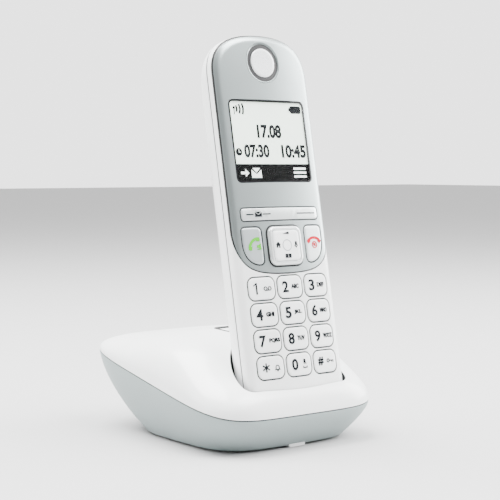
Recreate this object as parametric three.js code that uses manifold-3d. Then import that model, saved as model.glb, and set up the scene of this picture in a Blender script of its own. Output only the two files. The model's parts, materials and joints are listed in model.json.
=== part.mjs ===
// Cordless telephone handset standing in its charging base.
//
// Lengths are millimetres. X runs across the face, Y from front to back and Z up. The origin is on
// the floor, below the middle of the base. Handset pieces are drawn in the handset's own frame, in
// which x runs across the face, y goes in through the face and z runs along the handset from its
// foot. The whole frame then leans back with the handset.

import * as THREE from 'three';
import { mergeVertices } from 'three/addons/utils/BufferGeometryUtils.js';
import Module from 'manifold-3d';

const wasm = await Module();
wasm.setup();

// ---------------------------------------------------------------- driving dimensions

const GAP = 0.3; // between neighbouring pieces that don't move against each other
const KEY_GAP = 0.3; // round a push key
const FAR = 80; // longer than any cut needs to be

const BASE = {
  halfWidth: 43.6,
  halfDepth: 52.2,
  cornerPower: 5.1, // of the superellipse that is the seam's outline
  seamFront: 14.3, // height of the seam at the front edge
  seamSlope: 0.2, // rise of the seam towards the back
  underside: 1,
  floorHalfWidth: 35,
  floorFront: -44,
  floorBack: 26.4,
  floorCornerPower: 4,
  sidePower: 1.5, // how quickly the hull's side steepens towards the seam
  wall: 2,
  rim: 0.45, // upright edge of the cover above the seam
};

const HANDSET = {
  length: 155,
  halfWidth: 24.5,
  depth: 26,
  seam: 6, // depth of the joint between front and rear shell
  wall: 2,
  crownRadius: 180, // of the slightly rounded face
  faceWall: 3.4, // depth of the front shell's flat inner face
  footCorner: 9,
  shoulder: 138, // height at which the arched top begins
  backHalfWidth: 25, // semi-axis across the handset of the superellipse that rounds the back
  backPower: 2.3,
  footY: -49.56,
  footZ: 14,
  lean: THREE.MathUtils.degToRad(11.07),
};

const POCKET = { halfWidth: 26.8, front: -0.5, back: 26.7, floor: -0.5, chamfer: 2.4, wall: 1.6 };

const PANEL = { inset: 0.8, thickness: 0.9, lowerEdge: 57.5, cornerHeight: 74 };
const DISPLAY = { halfWidth: 19.65, low: 94.4, high: 128.8, corner: 2.5 };
const VIEW_AREA = { halfWidth: 18.9, low: 95.1, high: 128.1, corner: 1.5 };
const LCD = { halfWidth: 19.1, low: 94.9, high: 128.3, corner: 1, front: 3.3, back: 5.6 };
const EAR = { height: 144.3, ringOuter: 7, ringInner: 6, discRadius: 5.7 };
const SOFTKEY = { halfWidth: 19.6, low: 79.1, high: 83.9, corner: 1, gap: 0.4, back: 3.9, rise: 0.2 };
const NAV = { halfWidth: 8.35, low: 60.4, high: 76.2, corner: 3, gap: 0.4, back: 3.5, rise: 1.2 };
const SIDE_KEY = { inner: 11.3, outer: 20.4, low: 61.3, high: 76.2 };

const KEYPAD = {
  columnPitch: 14.09,
  rowPitch: 10.51,
  bottomRow: 20,
  width: 12.3,
  height: 8.8,
  corner: 2.6,
  rise: 0.5, // above the face
  back: 4.3, // depth of a key's rear end
};

const COVER = { halfWidth: 16, low: 46, high: 120, corner: 4, thickness: 1.8 };
const TRAY = { halfWidth: 18, low: 44, high: 122, front: 11 };
const BATTERY_BAY = { halfWidth: 12.4, low: 58.5, high: 108.6, front: 12.6 };
const SPRING = { halfWidth: 11, front: 13, back: 22, thickness: 1.4, lower: 59.2, upper: 105.9 };
const GRILLE = { halfWidth: 6, low: 127, pitch: 3, slotHeight: 1.2, corner: 0.5, slots: 4 };
const EAR_SPEAKER = { height: 143.3, radius: 7, front: 4, back: 6.6 };
const LOUDSPEAKER = { height: 132, radius: 9, front: 11.5, back: 15 };
const MICROPHONE = { height: 6.5, radius: 2.2, front: 3.8, back: 6.4, holeRadius: 0.6 };
const KEYPAD_MAT = { halfWidth: 20.6, low: 14, high: 86, corner: 3, front: 5.3, back: 6.3 };
const HANDSET_BOARD = { halfWidth: 20, low: 14, high: 136, corner: 3, front: 6.9, back: 8.3 };
const CELL = { radius: 5.2, length: 44.4, x: 5.7, y: 18.1, low: 61 };
const PAGE_KEY = { halfWidth: 9.2, front: -11.3, back: 2.1, corner: 5, gap: 0.4, sunk: 0.4 };
const BOARD = { halfWidth: 19, front: -17, back: 28, low: 12, thickness: 1.6 };
const SOCKET = { x: 9.6, halfWidth: 6.5, front: 20, low: 13.9, high: 26.3 };
const SOCKET_MOUTH = { halfWidth: 4.9, front: 30, low: 16, high: 23.5 };
const CONTACT = { x: 8, y: 18.2, halfWidth: 1.2, halfDepth: 2.2, top: 0.5 };
const CHARGE_PAD = { halfWidth: 1.6, halfDepth: 2.8, low: 0.8, high: 1.4 };
const PAGE_SWITCH = { y: -4.6, halfWidth: 3.2, halfDepth: 3.2, low: 13.9, high: 18.5, top: 20.7 };
const BASE_SCREW = { x: 27, y: 10, headRadius: 2.7, shankRadius: 1.25 };
const SHELL_SCREW = { x: 14, z: 8, headRadius: 2.1, shankRadius: 1.1 };
const FOOT = { radius: 4, height: 1.3, x: 24, frontY: -35, backY: 17 };

// Centre line of the base cover from its front edge, over the crest, to its back edge.
const CREST_LINE = [
  [-52.2, 14.7], [-51.2, 19], [-49.6, 22.4], [-47.6, 24.6], [-41.6, 28.5], [-34.6, 32.3],
  [-25.6, 38], [-17.6, 42], [-9.6, 44], [-1.6, 44.4], [10.4, 43.4], [25.4, 41.6],
  [38.4, 40], [45.4, 39], [50, 37.4], [52.2, 35.6],
];

const COLOUR = {
  white: { color: 0xf1f2f1, roughness: 0.35 },
  silver: { color: 0xc9cccd, roughness: 0.3, metalness: 0.6 },
  black: { color: 0x111214, roughness: 0.4 },
  screen: { color: 0xdfe6dc, roughness: 0.5 },
  clear: { color: 0xe8eeee, roughness: 0.05, transparent: true, opacity: 0.35 },
  rubber: { color: 0x9a9d9f, roughness: 0.8 },
  board: { color: 0x2f6b3a, roughness: 0.6 },
  metal: { color: 0xc8a24a, roughness: 0.3, metalness: 0.9 },
  steel: { color: 0xb9bcc0, roughness: 0.35, metalness: 0.9 },
  cell: { color: 0x3c7d4f, roughness: 0.4 },
};

// ---------------------------------------------------------------- solids

/** Signed volume of an indexed geometry: positive when its faces point out. */
function signedVolume(geometry) {
  const place = geometry.getAttribute('position');
  const corner = [new THREE.Vector3(), new THREE.Vector3(), new THREE.Vector3()];
  let volume = 0;
  for (let i = 0; i < geometry.index.count; i += 3) {
    corner.forEach((point, k) => point.fromBufferAttribute(place, geometry.index.getX(i + k)));
    volume += corner[0].dot(corner[1].cross(corner[2])) / 6;
  }
  return volume;
}

/** Turns a closed geometry into a solid, with its faces pointing out. */
function solid(geometry) {
  geometry.deleteAttribute('normal');
  geometry.deleteAttribute('uv');
  const merged = mergeVertices(geometry, 1e-4);
  const triangles = Uint32Array.from(merged.index.array);
  if (signedVolume(merged) < 0) {
    triangles.reverse();
  }
  return new wasm.Manifold(new wasm.Mesh({
    numProp: 3,
    vertProperties: Float32Array.from(merged.getAttribute('position').array),
    triVerts: triangles,
  }));
}

/** Geometry of a solid. */
function geometryOf(body) {
  const mesh = body.getMesh();
  const geometry = new THREE.BufferGeometry();
  geometry.setAttribute('position', new THREE.BufferAttribute(mesh.vertProperties, 3));
  geometry.setIndex(new THREE.BufferAttribute(mesh.triVerts, 1));
  return geometry;
}

function box(x0, x1, y0, y1, z0, z1) {
  const geometry = new THREE.BoxGeometry(x1 - x0, y1 - y0, z1 - z0);
  return solid(geometry.translate((x0 + x1) / 2, (y0 + y1) / 2, (z0 + z1) / 2));
}

/** Upright round bar. */
function post(x, y, z0, z1, radius, sides = 16) {
  const geometry = new THREE.CylinderGeometry(radius, radius, z1 - z0, sides);
  return solid(geometry.rotateX(Math.PI / 2).translate(x, y, (z0 + z1) / 2));
}

/** Round bar that runs into the handset, from depth y0 to y1. */
function peg(x, z, y0, y1, radius, sides = 16) {
  const geometry = new THREE.CylinderGeometry(radius, radius, y1 - y0, sides);
  return solid(geometry.translate(x, (y0 + y1) / 2, z));
}

/** Extrudes an outline drawn on the face from depth y0 to y1. */
function plate(shape, y0, y1, curveSegments = 3) {
  const geometry = new THREE.ExtrudeGeometry(shape, {
    depth: y1 - y0, bevelEnabled: false, curveSegments,
  });
  return solid(geometry.rotateX(Math.PI / 2).translate(0, y1, 0));
}

/** Extrudes an outline drawn on the floor from height z0 to z1. */
function slab(shape, z0, z1, curveSegments = 4) {
  const geometry = new THREE.ExtrudeGeometry(shape, {
    depth: z1 - z0, bevelEnabled: false, curveSegments,
  });
  return solid(geometry.translate(0, 0, z0));
}

/** Extrudes a side profile, drawn in y and z, across the handset from x0 to x1. */
function prismAcross(shape, x0, x1, curveSegments = 6) {
  const geometry = new THREE.ExtrudeGeometry(shape, {
    depth: x1 - x0, bevelEnabled: false, curveSegments,
  });
  const turn = new THREE.Matrix4().makeBasis(
    new THREE.Vector3(0, 1, 0), new THREE.Vector3(0, 0, 1), new THREE.Vector3(1, 0, 0),
  );
  return solid(geometry.applyMatrix4(turn).translate(x0, 0, 0));
}

/** Rectangle with round corners between two corners. */
function roundedRectangle(x0, x1, y0, y1, radius) {
  const shape = new THREE.Shape();
  shape.moveTo(x0 + radius, y0);
  shape.lineTo(x1 - radius, y0);
  shape.absarc(x1 - radius, y0 + radius, radius, -Math.PI / 2, 0);
  shape.lineTo(x1, y1 - radius);
  shape.absarc(x1 - radius, y1 - radius, radius, 0, Math.PI / 2);
  shape.lineTo(x0 + radius, y1);
  shape.absarc(x0 + radius, y1 - radius, radius, Math.PI / 2, Math.PI);
  shape.lineTo(x0, y0 + radius);
  shape.absarc(x0 + radius, y0 + radius, radius, Math.PI, 1.5 * Math.PI);
  return shape;
}

/** Rounded rectangle centred on the handset's middle line, grown all round by `grow`. */
function centred(piece, grow = 0) {
  const { halfWidth, low, high, corner } = piece;
  return roundedRectangle(
    -halfWidth - grow, halfWidth + grow, low - grow, high + grow, corner + grow,
  );
}

// ---------------------------------------------------------------- frames

const handsetFrame = new THREE.Group();
handsetFrame.position.set(0, HANDSET.footY, HANDSET.footZ);
handsetFrame.rotation.x = -HANDSET.lean;
handsetFrame.updateMatrix();

const baseFrame = new THREE.Group();

/** A handset-frame solid in the base's frame. */
function leaned(body) {
  return body.transform(handsetFrame.matrix.elements);
}

function addPiece(frame, name, body, look) {
  const mesh = new THREE.Mesh(geometryOf(body), new THREE.MeshStandardMaterial(look));
  mesh.name = name;
  frame.add(mesh);
}

const addToHandset = (name, body, look) => addPiece(handsetFrame, name, body, look);
const addToBase = (name, body, look) => addPiece(baseFrame, name, body, look);

// ---------------------------------------------------------------- base: surfaces

const seamHeight = (y) => BASE.seamFront + BASE.seamSlope * (y + BASE.halfDepth);

/** Height of the cover's centre line at y, by cubic interpolation through its points. */
function crestHeight(y) {
  const last = CREST_LINE.length - 1;
  let i = CREST_LINE.findIndex((point) => y < point[0]) - 1;
  if (i < 0) {
    i = y < CREST_LINE[0][0] ? 0 : last - 1;
  }
  const point = (k) => CREST_LINE[THREE.MathUtils.clamp(k, 0, last)];
  const slope = (k) => {
    const [y0, z0] = point(k - 1);
    const [y1, z1] = point(k + 1);
    return (z1 - z0) / (y1 - y0);
  };
  const [y0, z0] = point(i);
  const [y1, z1] = point(i + 1);
  const span = y1 - y0;
  const t = THREE.MathUtils.clamp((y - y0) / span, 0, 1);
  const hermite = (2 * t ** 3 - 3 * t ** 2 + 1) * z0 + (3 * t ** 2 - 2 * t ** 3) * z1;
  return hermite + span * ((t ** 3 - 2 * t ** 2 + t) * slope(i) + (t ** 3 - t ** 2) * slope(i + 1));
}

/** Height of the cover's outer surface. */
function coverHeight(x, y) {
  const alongDepth = Math.min(1, Math.abs(y / BASE.halfDepth)) ** BASE.cornerPower;
  const halfWidth = BASE.halfWidth * Math.max(1e-6, 1 - alongDepth) ** (1 / BASE.cornerPower);
  const across = Math.min(1, Math.abs(x) / halfWidth);
  const foot = seamHeight(y) + BASE.rim;
  return foot + Math.max(0, crestHeight(y) - foot) * Math.sqrt(1 - across ** 4);
}

/**
 * Closed body of rings around a middle line. Each ring is {reach, height, ...}: reach scales the
 * ring from the middle, and place(cos, sin, ring) gives the point for a direction.
 */
function ringBody(rings, place, sides = 44) {
  const profile = rings.map((ring, i) => new THREE.Vector2(ring.reach, i));
  const geometry = new THREE.LatheGeometry(profile, sides);
  const position = geometry.getAttribute('position');
  for (let i = 0; i < position.count; i += 1) {
    const ring = rings[Math.round(position.getY(i))];
    const turn = Math.atan2(position.getX(i), position.getZ(i));
    position.setXYZ(i, ...place(Math.cos(turn), Math.sin(turn), ring));
  }
  return solid(geometry);
}

/** Distance from the middle to a unit superellipse, in a direction. */
const superRadius = (cos, sin, power) => (
  (Math.abs(cos) ** power + Math.abs(sin) ** power) ** (-1 / power)
);

/** Body under the cover's surface, inset by a wall, down to `drop` below the seam. */
function coverBody(inset, drop) {
  const reaches = [1, 0.98, 0.93, 0.86, 0.75, 0.6, 0.35, 0];
  const rings = [{ reach: 0, top: false }, { reach: 1, top: false }];
  reaches.forEach((reach) => rings.push({ reach, top: true }));
  const halfWidth = BASE.halfWidth - inset;
  const halfDepth = BASE.halfDepth - inset;
  return ringBody(rings, (cos, sin, ring) => {
    const radius = ring.reach * superRadius(cos, sin, BASE.cornerPower);
    const outerX = BASE.halfWidth * radius * cos;
    const outerY = BASE.halfDepth * radius * sin;
    const y = halfDepth * radius * sin;
    const z = ring.top ? coverHeight(outerX, outerY) - inset : seamHeight(y) - drop;
    return [halfWidth * radius * cos, y, z];
  });
}

/** Body of the lower hull, inset by a wall, from a flat floor to `rise` above the seam. */
function hullBody(inset, floor, rise) {
  const steps = [0, 0.2, 0.5, 1];
  const rings = [{ reach: 0, step: 0, lift: 0 }];
  steps.forEach((step) => rings.push({ reach: 1, step, lift: 0 }));
  rings.push({ reach: 1, step: 1, lift: rise }, { reach: 0, step: 1, lift: rise });
  const body = ringBody(rings, (cos, sin, ring) => {
    const spread = 1 - (1 - ring.step) ** BASE.sidePower;
    const mix = (low, high) => low + (high - low) * spread;
    const power = mix(BASE.floorCornerPower, BASE.cornerPower);
    const front = mix(BASE.floorFront, -BASE.halfDepth) + inset;
    const back = mix(BASE.floorBack, BASE.halfDepth) - inset;
    const halfWidth = mix(BASE.floorHalfWidth, BASE.halfWidth) - inset;
    const radius = ring.reach * superRadius(cos, sin, power);
    const y = (front + back) / 2 + ((back - front) / 2) * radius * sin;
    const z = BASE.underside + (seamHeight(y) - BASE.underside) * ring.step;
    return [halfWidth * radius * cos, y, z + ring.lift];
  });
  return body.intersect(box(-FAR, FAR, -FAR, FAR, floor, FAR));
}

// ---------------------------------------------------------------- base: pieces

/** Side profile of the handset's pocket, grown by a wall. */
function pocketProfile(grow) {
  const front = POCKET.front - grow;
  const back = POCKET.back + grow;
  const floor = POCKET.floor - grow;
  const chamfer = POCKET.chamfer;
  const shape = new THREE.Shape();
  shape.moveTo(front, FAR);
  shape.lineTo(front, floor + chamfer);
  shape.lineTo(front + chamfer, floor);
  shape.lineTo(back - chamfer, floor);
  shape.lineTo(back, floor + chamfer);
  shape.lineTo(back, FAR);
  return shape;
}

function pageKeyOutline(grow) {
  return roundedRectangle(
    -PAGE_KEY.halfWidth - grow, PAGE_KEY.halfWidth + grow,
    PAGE_KEY.front - grow, PAGE_KEY.back + grow, PAGE_KEY.corner + grow,
  );
}

/** Box in the handset's frame round each charging contact, as one solid. */
function aroundContacts(growX, growY, z0, z1) {
  const halves = [-1, 1].map((side) => {
    const x = side * CONTACT.x;
    const halfX = CONTACT.halfWidth + growX;
    const halfY = CONTACT.halfDepth + growY;
    return box(x - halfX, x + halfX, CONTACT.y - halfY, CONTACT.y + halfY, z0, z1);
  });
  return halves[0].add(halves[1]);
}

function makeTopCover() {
  const outer = coverBody(0, -GAP);
  const tubHalfWidth = POCKET.halfWidth + POCKET.wall;
  const tubBlock = leaned(prismAcross(pocketProfile(POCKET.wall), -tubHalfWidth, tubHalfWidth));
  const roomForTub = outer.add(hullBody(BASE.wall + GAP, BASE.underside + BASE.wall + GAP, 1));
  const cavity = leaned(prismAcross(pocketProfile(0), -POCKET.halfWidth, POCKET.halfWidth));
  const bosses = [-1, 1].map((side) => (
    post(side * BASE_SCREW.x, BASE_SCREW.y, 5.8, FAR, 3).intersect(coverBody(0, FAR))
  ));
  const bores = [-1, 1].map((side) => post(side * BASE_SCREW.x, BASE_SCREW.y, 5, 16, 1.55, 12));
  return outer
    .subtract(coverBody(BASE.wall, 8))
    .add(tubBlock.intersect(roomForTub))
    .add(bosses[0])
    .add(bosses[1])
    .subtract(cavity)
    .subtract(leaned(aroundContacts(0.4, 0.4, -FAR / 4, FAR / 4)))
    .subtract(slab(pageKeyOutline(PAGE_KEY.gap), 36, FAR))
    .subtract(bores[0])
    .subtract(bores[1]);
}

function makeBottomShell() {
  const floor = BASE.underside + BASE.wall;
  let shell = hullBody(0, BASE.underside, 0.001).subtract(hullBody(BASE.wall, floor, 3));
  const boardPosts = [[-16, -12], [16, -12], [-16, 24], [16, 24]];
  boardPosts.forEach(([x, y]) => {
    shell = shell.add(post(x, y, floor - 1, BOARD.low - GAP, 2.5, 12));
  });
  [-1, 1].forEach((side) => {
    const x = side * BASE_SCREW.x;
    shell = shell
      .add(post(x, BASE_SCREW.y, BASE.underside, 5.5, 5))
      .subtract(post(x, BASE_SCREW.y, 0, 3.4, BASE_SCREW.headRadius + GAP))
      .subtract(post(x, BASE_SCREW.y, 0, 6, BASE_SCREW.shankRadius + GAP, 12));
    [FOOT.frontY, FOOT.backY].forEach((y) => {
      shell = shell.subtract(post(side * FOOT.x, y, 0, FOOT.height + GAP, FOOT.radius + GAP));
    });
    shell = shell.subtract(box(
      side * SOCKET.x - SOCKET_MOUTH.halfWidth - 0.2, side * SOCKET.x + SOCKET_MOUTH.halfWidth + 0.2,
      SOCKET_MOUTH.front, FAR, SOCKET_MOUTH.low - 0.2, SOCKET_MOUTH.high + 0.2,
    ));
  });
  return shell;
}

function makeSocket(side) {
  const x = side * SOCKET.x;
  const block = box(
    x - SOCKET.halfWidth, x + SOCKET.halfWidth, SOCKET.front, FAR, SOCKET.low, SOCKET.high,
  );
  const mouth = box(
    x - SOCKET_MOUTH.halfWidth, x + SOCKET_MOUTH.halfWidth,
    SOCKET_MOUTH.front, FAR, SOCKET_MOUTH.low, SOCKET_MOUTH.high,
  );
  const inside = hullBody(BASE.wall + GAP, BASE.underside + BASE.wall, 0.5);
  return block.intersect(inside).subtract(mouth);
}

function makePageKey() {
  const cap = slab(pageKeyOutline(0), 39.6, FAR)
    .intersect(coverBody(0, FAR / 2).translate([0, 0, -PAGE_KEY.sunk]));
  return cap.add(box(-2, 2, PAGE_SWITCH.y - 2, PAGE_SWITCH.y + 2, 21.8, 41));
}

function makeScrew(x, y) {
  return post(x, y, 1.3, 3.1, BASE_SCREW.headRadius).add(
    post(x, y, 3, 14, BASE_SCREW.shankRadius, 12),
  );
}

function makeContact(side) {
  const x = side * CONTACT.x;
  const blade = box(
    x - CONTACT.halfWidth, x + CONTACT.halfWidth,
    CONTACT.y - CONTACT.halfDepth, CONTACT.y + CONTACT.halfDepth, -5, CONTACT.top,
  );
  return blade.add(box(x - 2.2, x + 2.2, CONTACT.y - 3.2, CONTACT.y + 3.2, -4, -2.6));
}

addToBase('base_bottom_shell', makeBottomShell(), COLOUR.white);
addToBase('base_top_cover', makeTopCover(), COLOUR.white);
addToBase('page_key', makePageKey(), COLOUR.white);
addToBase(
  'base_circuit_board',
  box(
    -BOARD.halfWidth, BOARD.halfWidth, BOARD.front, BOARD.back,
    BOARD.low, BOARD.low + BOARD.thickness,
  ),
  COLOUR.board,
);
addToBase(
  'page_switch',
  box(
    -PAGE_SWITCH.halfWidth, PAGE_SWITCH.halfWidth,
    PAGE_SWITCH.y - PAGE_SWITCH.halfDepth, PAGE_SWITCH.y + PAGE_SWITCH.halfDepth,
    PAGE_SWITCH.low, PAGE_SWITCH.high,
  ).add(post(0, PAGE_SWITCH.y, PAGE_SWITCH.low, PAGE_SWITCH.top, 1.6, 16)),
  COLOUR.black,
);
addToBase('power_socket', makeSocket(-1), COLOUR.black);
addToBase('line_socket', makeSocket(1), COLOUR.black);
[['left', -1], ['right', 1]].forEach(([hand, side]) => {
  [['front', FOOT.frontY], ['back', FOOT.backY]].forEach(([end, y]) => {
    const foot = post(side * FOOT.x, y, 0, FOOT.height, FOOT.radius);
    addToBase(`rubber_foot_${end}_${hand}`, foot, COLOUR.rubber);
  });
  addToBase(`base_screw_${hand}`, makeScrew(side * BASE_SCREW.x, BASE_SCREW.y), COLOUR.steel);
  addToHandset(`charge_contact_${hand}`, makeContact(side), COLOUR.metal);
});

// ---------------------------------------------------------------- handset: surfaces

/** Front outline of the handset: round foot corners and an arched top. */
function handsetOutline(inset) {
  const side = HANDSET.halfWidth - inset;
  const foot = inset;
  const top = HANDSET.length - inset;
  const footCorner = HANDSET.footCorner - inset / 2;
  const shape = new THREE.Shape();
  shape.moveTo(-side + footCorner, foot);
  shape.lineTo(side - footCorner, foot);
  shape.absarc(side - footCorner, foot + footCorner, footCorner, -Math.PI / 2, 0);
  shape.lineTo(side, HANDSET.shoulder);
  shape.bezierCurveTo(side, top - 4, side - 9, top, 0, top);
  shape.bezierCurveTo(-side + 9, top, -side, top - 4, -side, HANDSET.shoulder);
  shape.lineTo(-side, foot + footCorner);
  shape.absarc(-side + footCorner, foot + footCorner, footCorner, Math.PI, 1.5 * Math.PI);
  return shape;
}

/** Side profile of the handset: flat back, rounded foot, back sloping in to the top. */
function sideProfile(inset) {
  const face = inset;
  const back = HANDSET.depth - inset;
  const foot = inset;
  const top = HANDSET.length - inset;
  const shape = new THREE.Shape();
  shape.moveTo(-1, foot + 4);
  shape.lineTo(face, foot + 4);
  shape.quadraticCurveTo(face, foot, face + 3.5, foot);
  shape.lineTo(back - 6, foot);
  shape.quadraticCurveTo(back, foot, back, foot + 7);
  shape.lineTo(back, 118);
  shape.bezierCurveTo(back, 140, back - 8, top, 6, top);
  shape.quadraticCurveTo(face, top, face, top - 5);
  shape.lineTo(-1, top - 5);
  return shape;
}

/** Everything behind the crowned face, inset by `depth`. */
function behindFace(depth) {
  const radius = HANDSET.crownRadius;
  const geometry = new THREE.CylinderGeometry(radius, radius, 3 * HANDSET.length, 128);
  return solid(geometry.rotateX(Math.PI / 2).translate(0, radius + depth, 0));
}

/** Long bar with the handset's rounded back as its section. */
function roundedBack(inset) {
  const below = -10;
  const above = HANDSET.length + 15;
  const rings = [{ reach: 0, end: below }, { reach: 1, end: below }];
  rings.push({ reach: 1, end: above }, { reach: 0, end: above });
  const halfWidth = HANDSET.backHalfWidth - inset;
  const depth = HANDSET.depth - inset;
  return ringBody(rings, (cos, sin, ring) => {
    const radius = ring.reach * superRadius(cos, sin, HANDSET.backPower);
    return [halfWidth * radius * cos, depth * radius * sin, ring.end];
  }, 40);
}

/** Whole handset as one body, inset by a wall. */
function handsetBody(inset) {
  return plate(handsetOutline(inset), -5, 40, 5)
    .intersect(behindFace(inset))
    .intersect(roundedBack(inset))
    .intersect(prismAcross(sideProfile(inset), -30, 30, 5));
}

const acrossDepth = (y0, y1) => box(-FAR, FAR, y0, y1, -FAR, 3 * FAR);

/** Silver panel's outline: the handset's top, and a wide U below the navigation key. */
function panelOutline(grow) {
  const side = HANDSET.halfWidth - PANEL.inset + grow;
  const top = HANDSET.length - PANEL.inset + grow;
  const low = PANEL.lowerEdge - grow;
  const shape = new THREE.Shape();
  shape.moveTo(side, PANEL.cornerHeight);
  shape.lineTo(side, HANDSET.shoulder);
  shape.bezierCurveTo(side, top - 4, side - 9, top, 0, top);
  shape.bezierCurveTo(-side + 9, top, -side, top - 4, -side, HANDSET.shoulder);
  shape.lineTo(-side, PANEL.cornerHeight);
  shape.bezierCurveTo(-side + 0.3, low + 2.5, -17, low, 0, low);
  shape.bezierCurveTo(17, low, side - 0.3, low + 2.5, side, PANEL.cornerHeight);
  return shape;
}

/** Talk or end key: square inside, with its outer lower corner following the panel's edge. */
function sideKeyOutline(side, grow) {
  const inner = side * (SIDE_KEY.inner - grow);
  const outer = side * (SIDE_KEY.outer + grow);
  const low = SIDE_KEY.low - grow;
  const high = SIDE_KEY.high + grow;
  const round = side * 2;
  const shape = new THREE.Shape();
  shape.moveTo(inner, low);
  shape.bezierCurveTo(inner + side * 5, low + 0.1, outer, low + 3, outer, low + 9);
  shape.lineTo(outer, high - 2);
  shape.quadraticCurveTo(outer, high, outer - round, high);
  shape.lineTo(inner, high);
  return shape;
}

function keyOutline(column, row, grow) {
  const x = (column - 1) * KEYPAD.columnPitch;
  const z = KEYPAD.bottomRow + row * KEYPAD.rowPitch;
  const halfX = KEYPAD.width / 2 + grow;
  const halfZ = KEYPAD.height / 2 + grow;
  return roundedRectangle(x - halfX, x + halfX, z - halfZ, z + halfZ, KEYPAD.corner + grow);
}

// Rows run from the foot of the handset upwards.
const KEY_ROWS = [
  ['star', '0', 'hash'],
  ['7', '8', '9'],
  ['4', '5', '6'],
  ['1', '2', '3'],
];

// ---------------------------------------------------------------- handset: pieces

/** Holes through the panel and the front shell above the keypad. */
function cutFaceOpenings(body) {
  return body
    .subtract(plate(centred(DISPLAY), -5, 10))
    .subtract(plate(centred(SOFTKEY, SOFTKEY.gap), -5, 10))
    .subtract(plate(centred(NAV, NAV.gap), -5, 10))
    .subtract(plate(sideKeyOutline(-1, KEY_GAP), -5, 10))
    .subtract(plate(sideKeyOutline(1, KEY_GAP), -5, 10))
    .subtract(peg(0, EAR.height, -5, 10, EAR.ringOuter + GAP, 20));
}

function makeFrontShell() {
  const inside = handsetBody(HANDSET.wall).intersect(acrossDepth(HANDSET.faceWall, 30));
  const panelSeat = plate(panelOutline(GAP), -5, 10, 5)
    .subtract(behindFace(PANEL.thickness + GAP));
  let shell = cutFaceOpenings(
    handsetBody(0).intersect(acrossDepth(-5, HANDSET.seam)).subtract(inside).subtract(panelSeat),
  );
  KEY_ROWS.forEach((names, row) => names.forEach((name, column) => {
    shell = shell.subtract(plate(keyOutline(column, row, KEY_GAP), -5, 10, 3));
  }));
  [-1, 1].forEach((side) => {
    shell = shell
      .add(peg(side * SHELL_SCREW.x, SHELL_SCREW.z, 3, 8, 2.6, 16))
      .subtract(peg(side * SHELL_SCREW.x, SHELL_SCREW.z, 4.2, 9, SHELL_SCREW.shankRadius + GAP, 12));
  });
  return shell.subtract(peg(0, MICROPHONE.height, -5, 5, MICROPHONE.holeRadius, 8));
}

/** Box from a depth out through the back. */
function bay({ halfWidth, low, high, front }) {
  return box(-halfWidth, halfWidth, front, FAR, low, high);
}

function makeRearShell() {
  const outer = handsetBody(0);
  const behindSeam = acrossDepth(HANDSET.seam + GAP, 40);
  const tray = outer.intersect(bay(TRAY));
  const coverSeat = plate(centred(COVER, GAP), 8, 40)
    .subtract(handsetBody(COVER.thickness + GAP));
  let shell = outer
    .subtract(handsetBody(HANDSET.wall))
    .add(tray)
    .subtract(coverSeat)
    .subtract(bay(BATTERY_BAY));
  [-1, 1].forEach((side) => {
    const x = side * SHELL_SCREW.x;
    shell = shell
      .add(peg(x, SHELL_SCREW.z, 8.4, 30, 3.4, 16).intersect(outer))
      .subtract(peg(x, SHELL_SCREW.z, 17, 40, SHELL_SCREW.headRadius + GAP, 16))
      .subtract(peg(x, SHELL_SCREW.z, 5, 20, SHELL_SCREW.shankRadius + GAP, 12));
  });
  for (let slot = 0; slot < GRILLE.slots; slot += 1) {
    const z = GRILLE.low + slot * GRILLE.pitch;
    const outline = roundedRectangle(
      -GRILLE.halfWidth, GRILLE.halfWidth, z, z + GRILLE.slotHeight, GRILLE.corner,
    );
    shell = shell.subtract(plate(outline, 12, 40, 2));
  }
  return shell
    .intersect(behindSeam)
    .subtract(aroundContacts(0.7, 0.9, -5, 5));
}

function makeBatteryCover() {
  return handsetBody(0)
    .intersect(plate(centred(COVER), 10, 40))
    .subtract(handsetBody(COVER.thickness));
}

function makeNavCarrier() {
  const ring = plate(roundedRectangle(-6, 6, 62.3, 74.3, 1.5), 3.9, 4.8, 3);
  return ring.subtract(plate(roundedRectangle(-4, 4, 64.3, 72.3, 1), 3, 6, 3));
}

/** Keypad key: a straight-sided block with the face's crown on top. */
function pushKey(outline) {
  return plate(outline, -5, KEYPAD.back, 3).intersect(behindFace(-KEYPAD.rise));
}

addToHandset('handset_front_shell', makeFrontShell(), COLOUR.white);
addToHandset('handset_rear_shell', makeRearShell(), COLOUR.white);
addToHandset(
  'face_panel',
  cutFaceOpenings(
    plate(panelOutline(0), -5, 10, 5).intersect(behindFace(0)).subtract(
      behindFace(PANEL.thickness),
    ),
  ),
  COLOUR.silver,
);
addToHandset('battery_cover', makeBatteryCover(), COLOUR.white);

addToHandset(
  'display_window',
  plate(centred(DISPLAY, -GAP), -5, 1.9).intersect(behindFace(0.15)),
  COLOUR.clear,
);
addToHandset(
  'display_frame',
  plate(centred(DISPLAY, -GAP), 2.2, 3).subtract(plate(centred(VIEW_AREA), 0, 5)),
  COLOUR.black,
);
addToHandset('lcd_module', plate(centred(LCD), LCD.front, LCD.back, 2), COLOUR.screen);

addToHandset(
  'earpiece_ring',
  peg(0, EAR.height, -5, 3, EAR.ringOuter, 20)
    .subtract(peg(0, EAR.height, -6, 4, EAR.ringInner, 20))
    .intersect(behindFace(0)),
  COLOUR.black,
);
addToHandset(
  'earpiece_disc',
  peg(0, EAR.height, -5, 2.6, EAR.discRadius, 20).intersect(behindFace(-0.1)),
  COLOUR.silver,
);
[
  ['earpiece_speaker', EAR_SPEAKER], ['microphone', MICROPHONE], ['loudspeaker', LOUDSPEAKER],
].forEach(([name, { height, radius, front, back }]) => {
  addToHandset(name, peg(0, height, front, back, radius, 24), COLOUR.black);
});
addToHandset('antenna', box(9, 18, 9.6, 11.2, 140, 146), COLOUR.metal);

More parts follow.
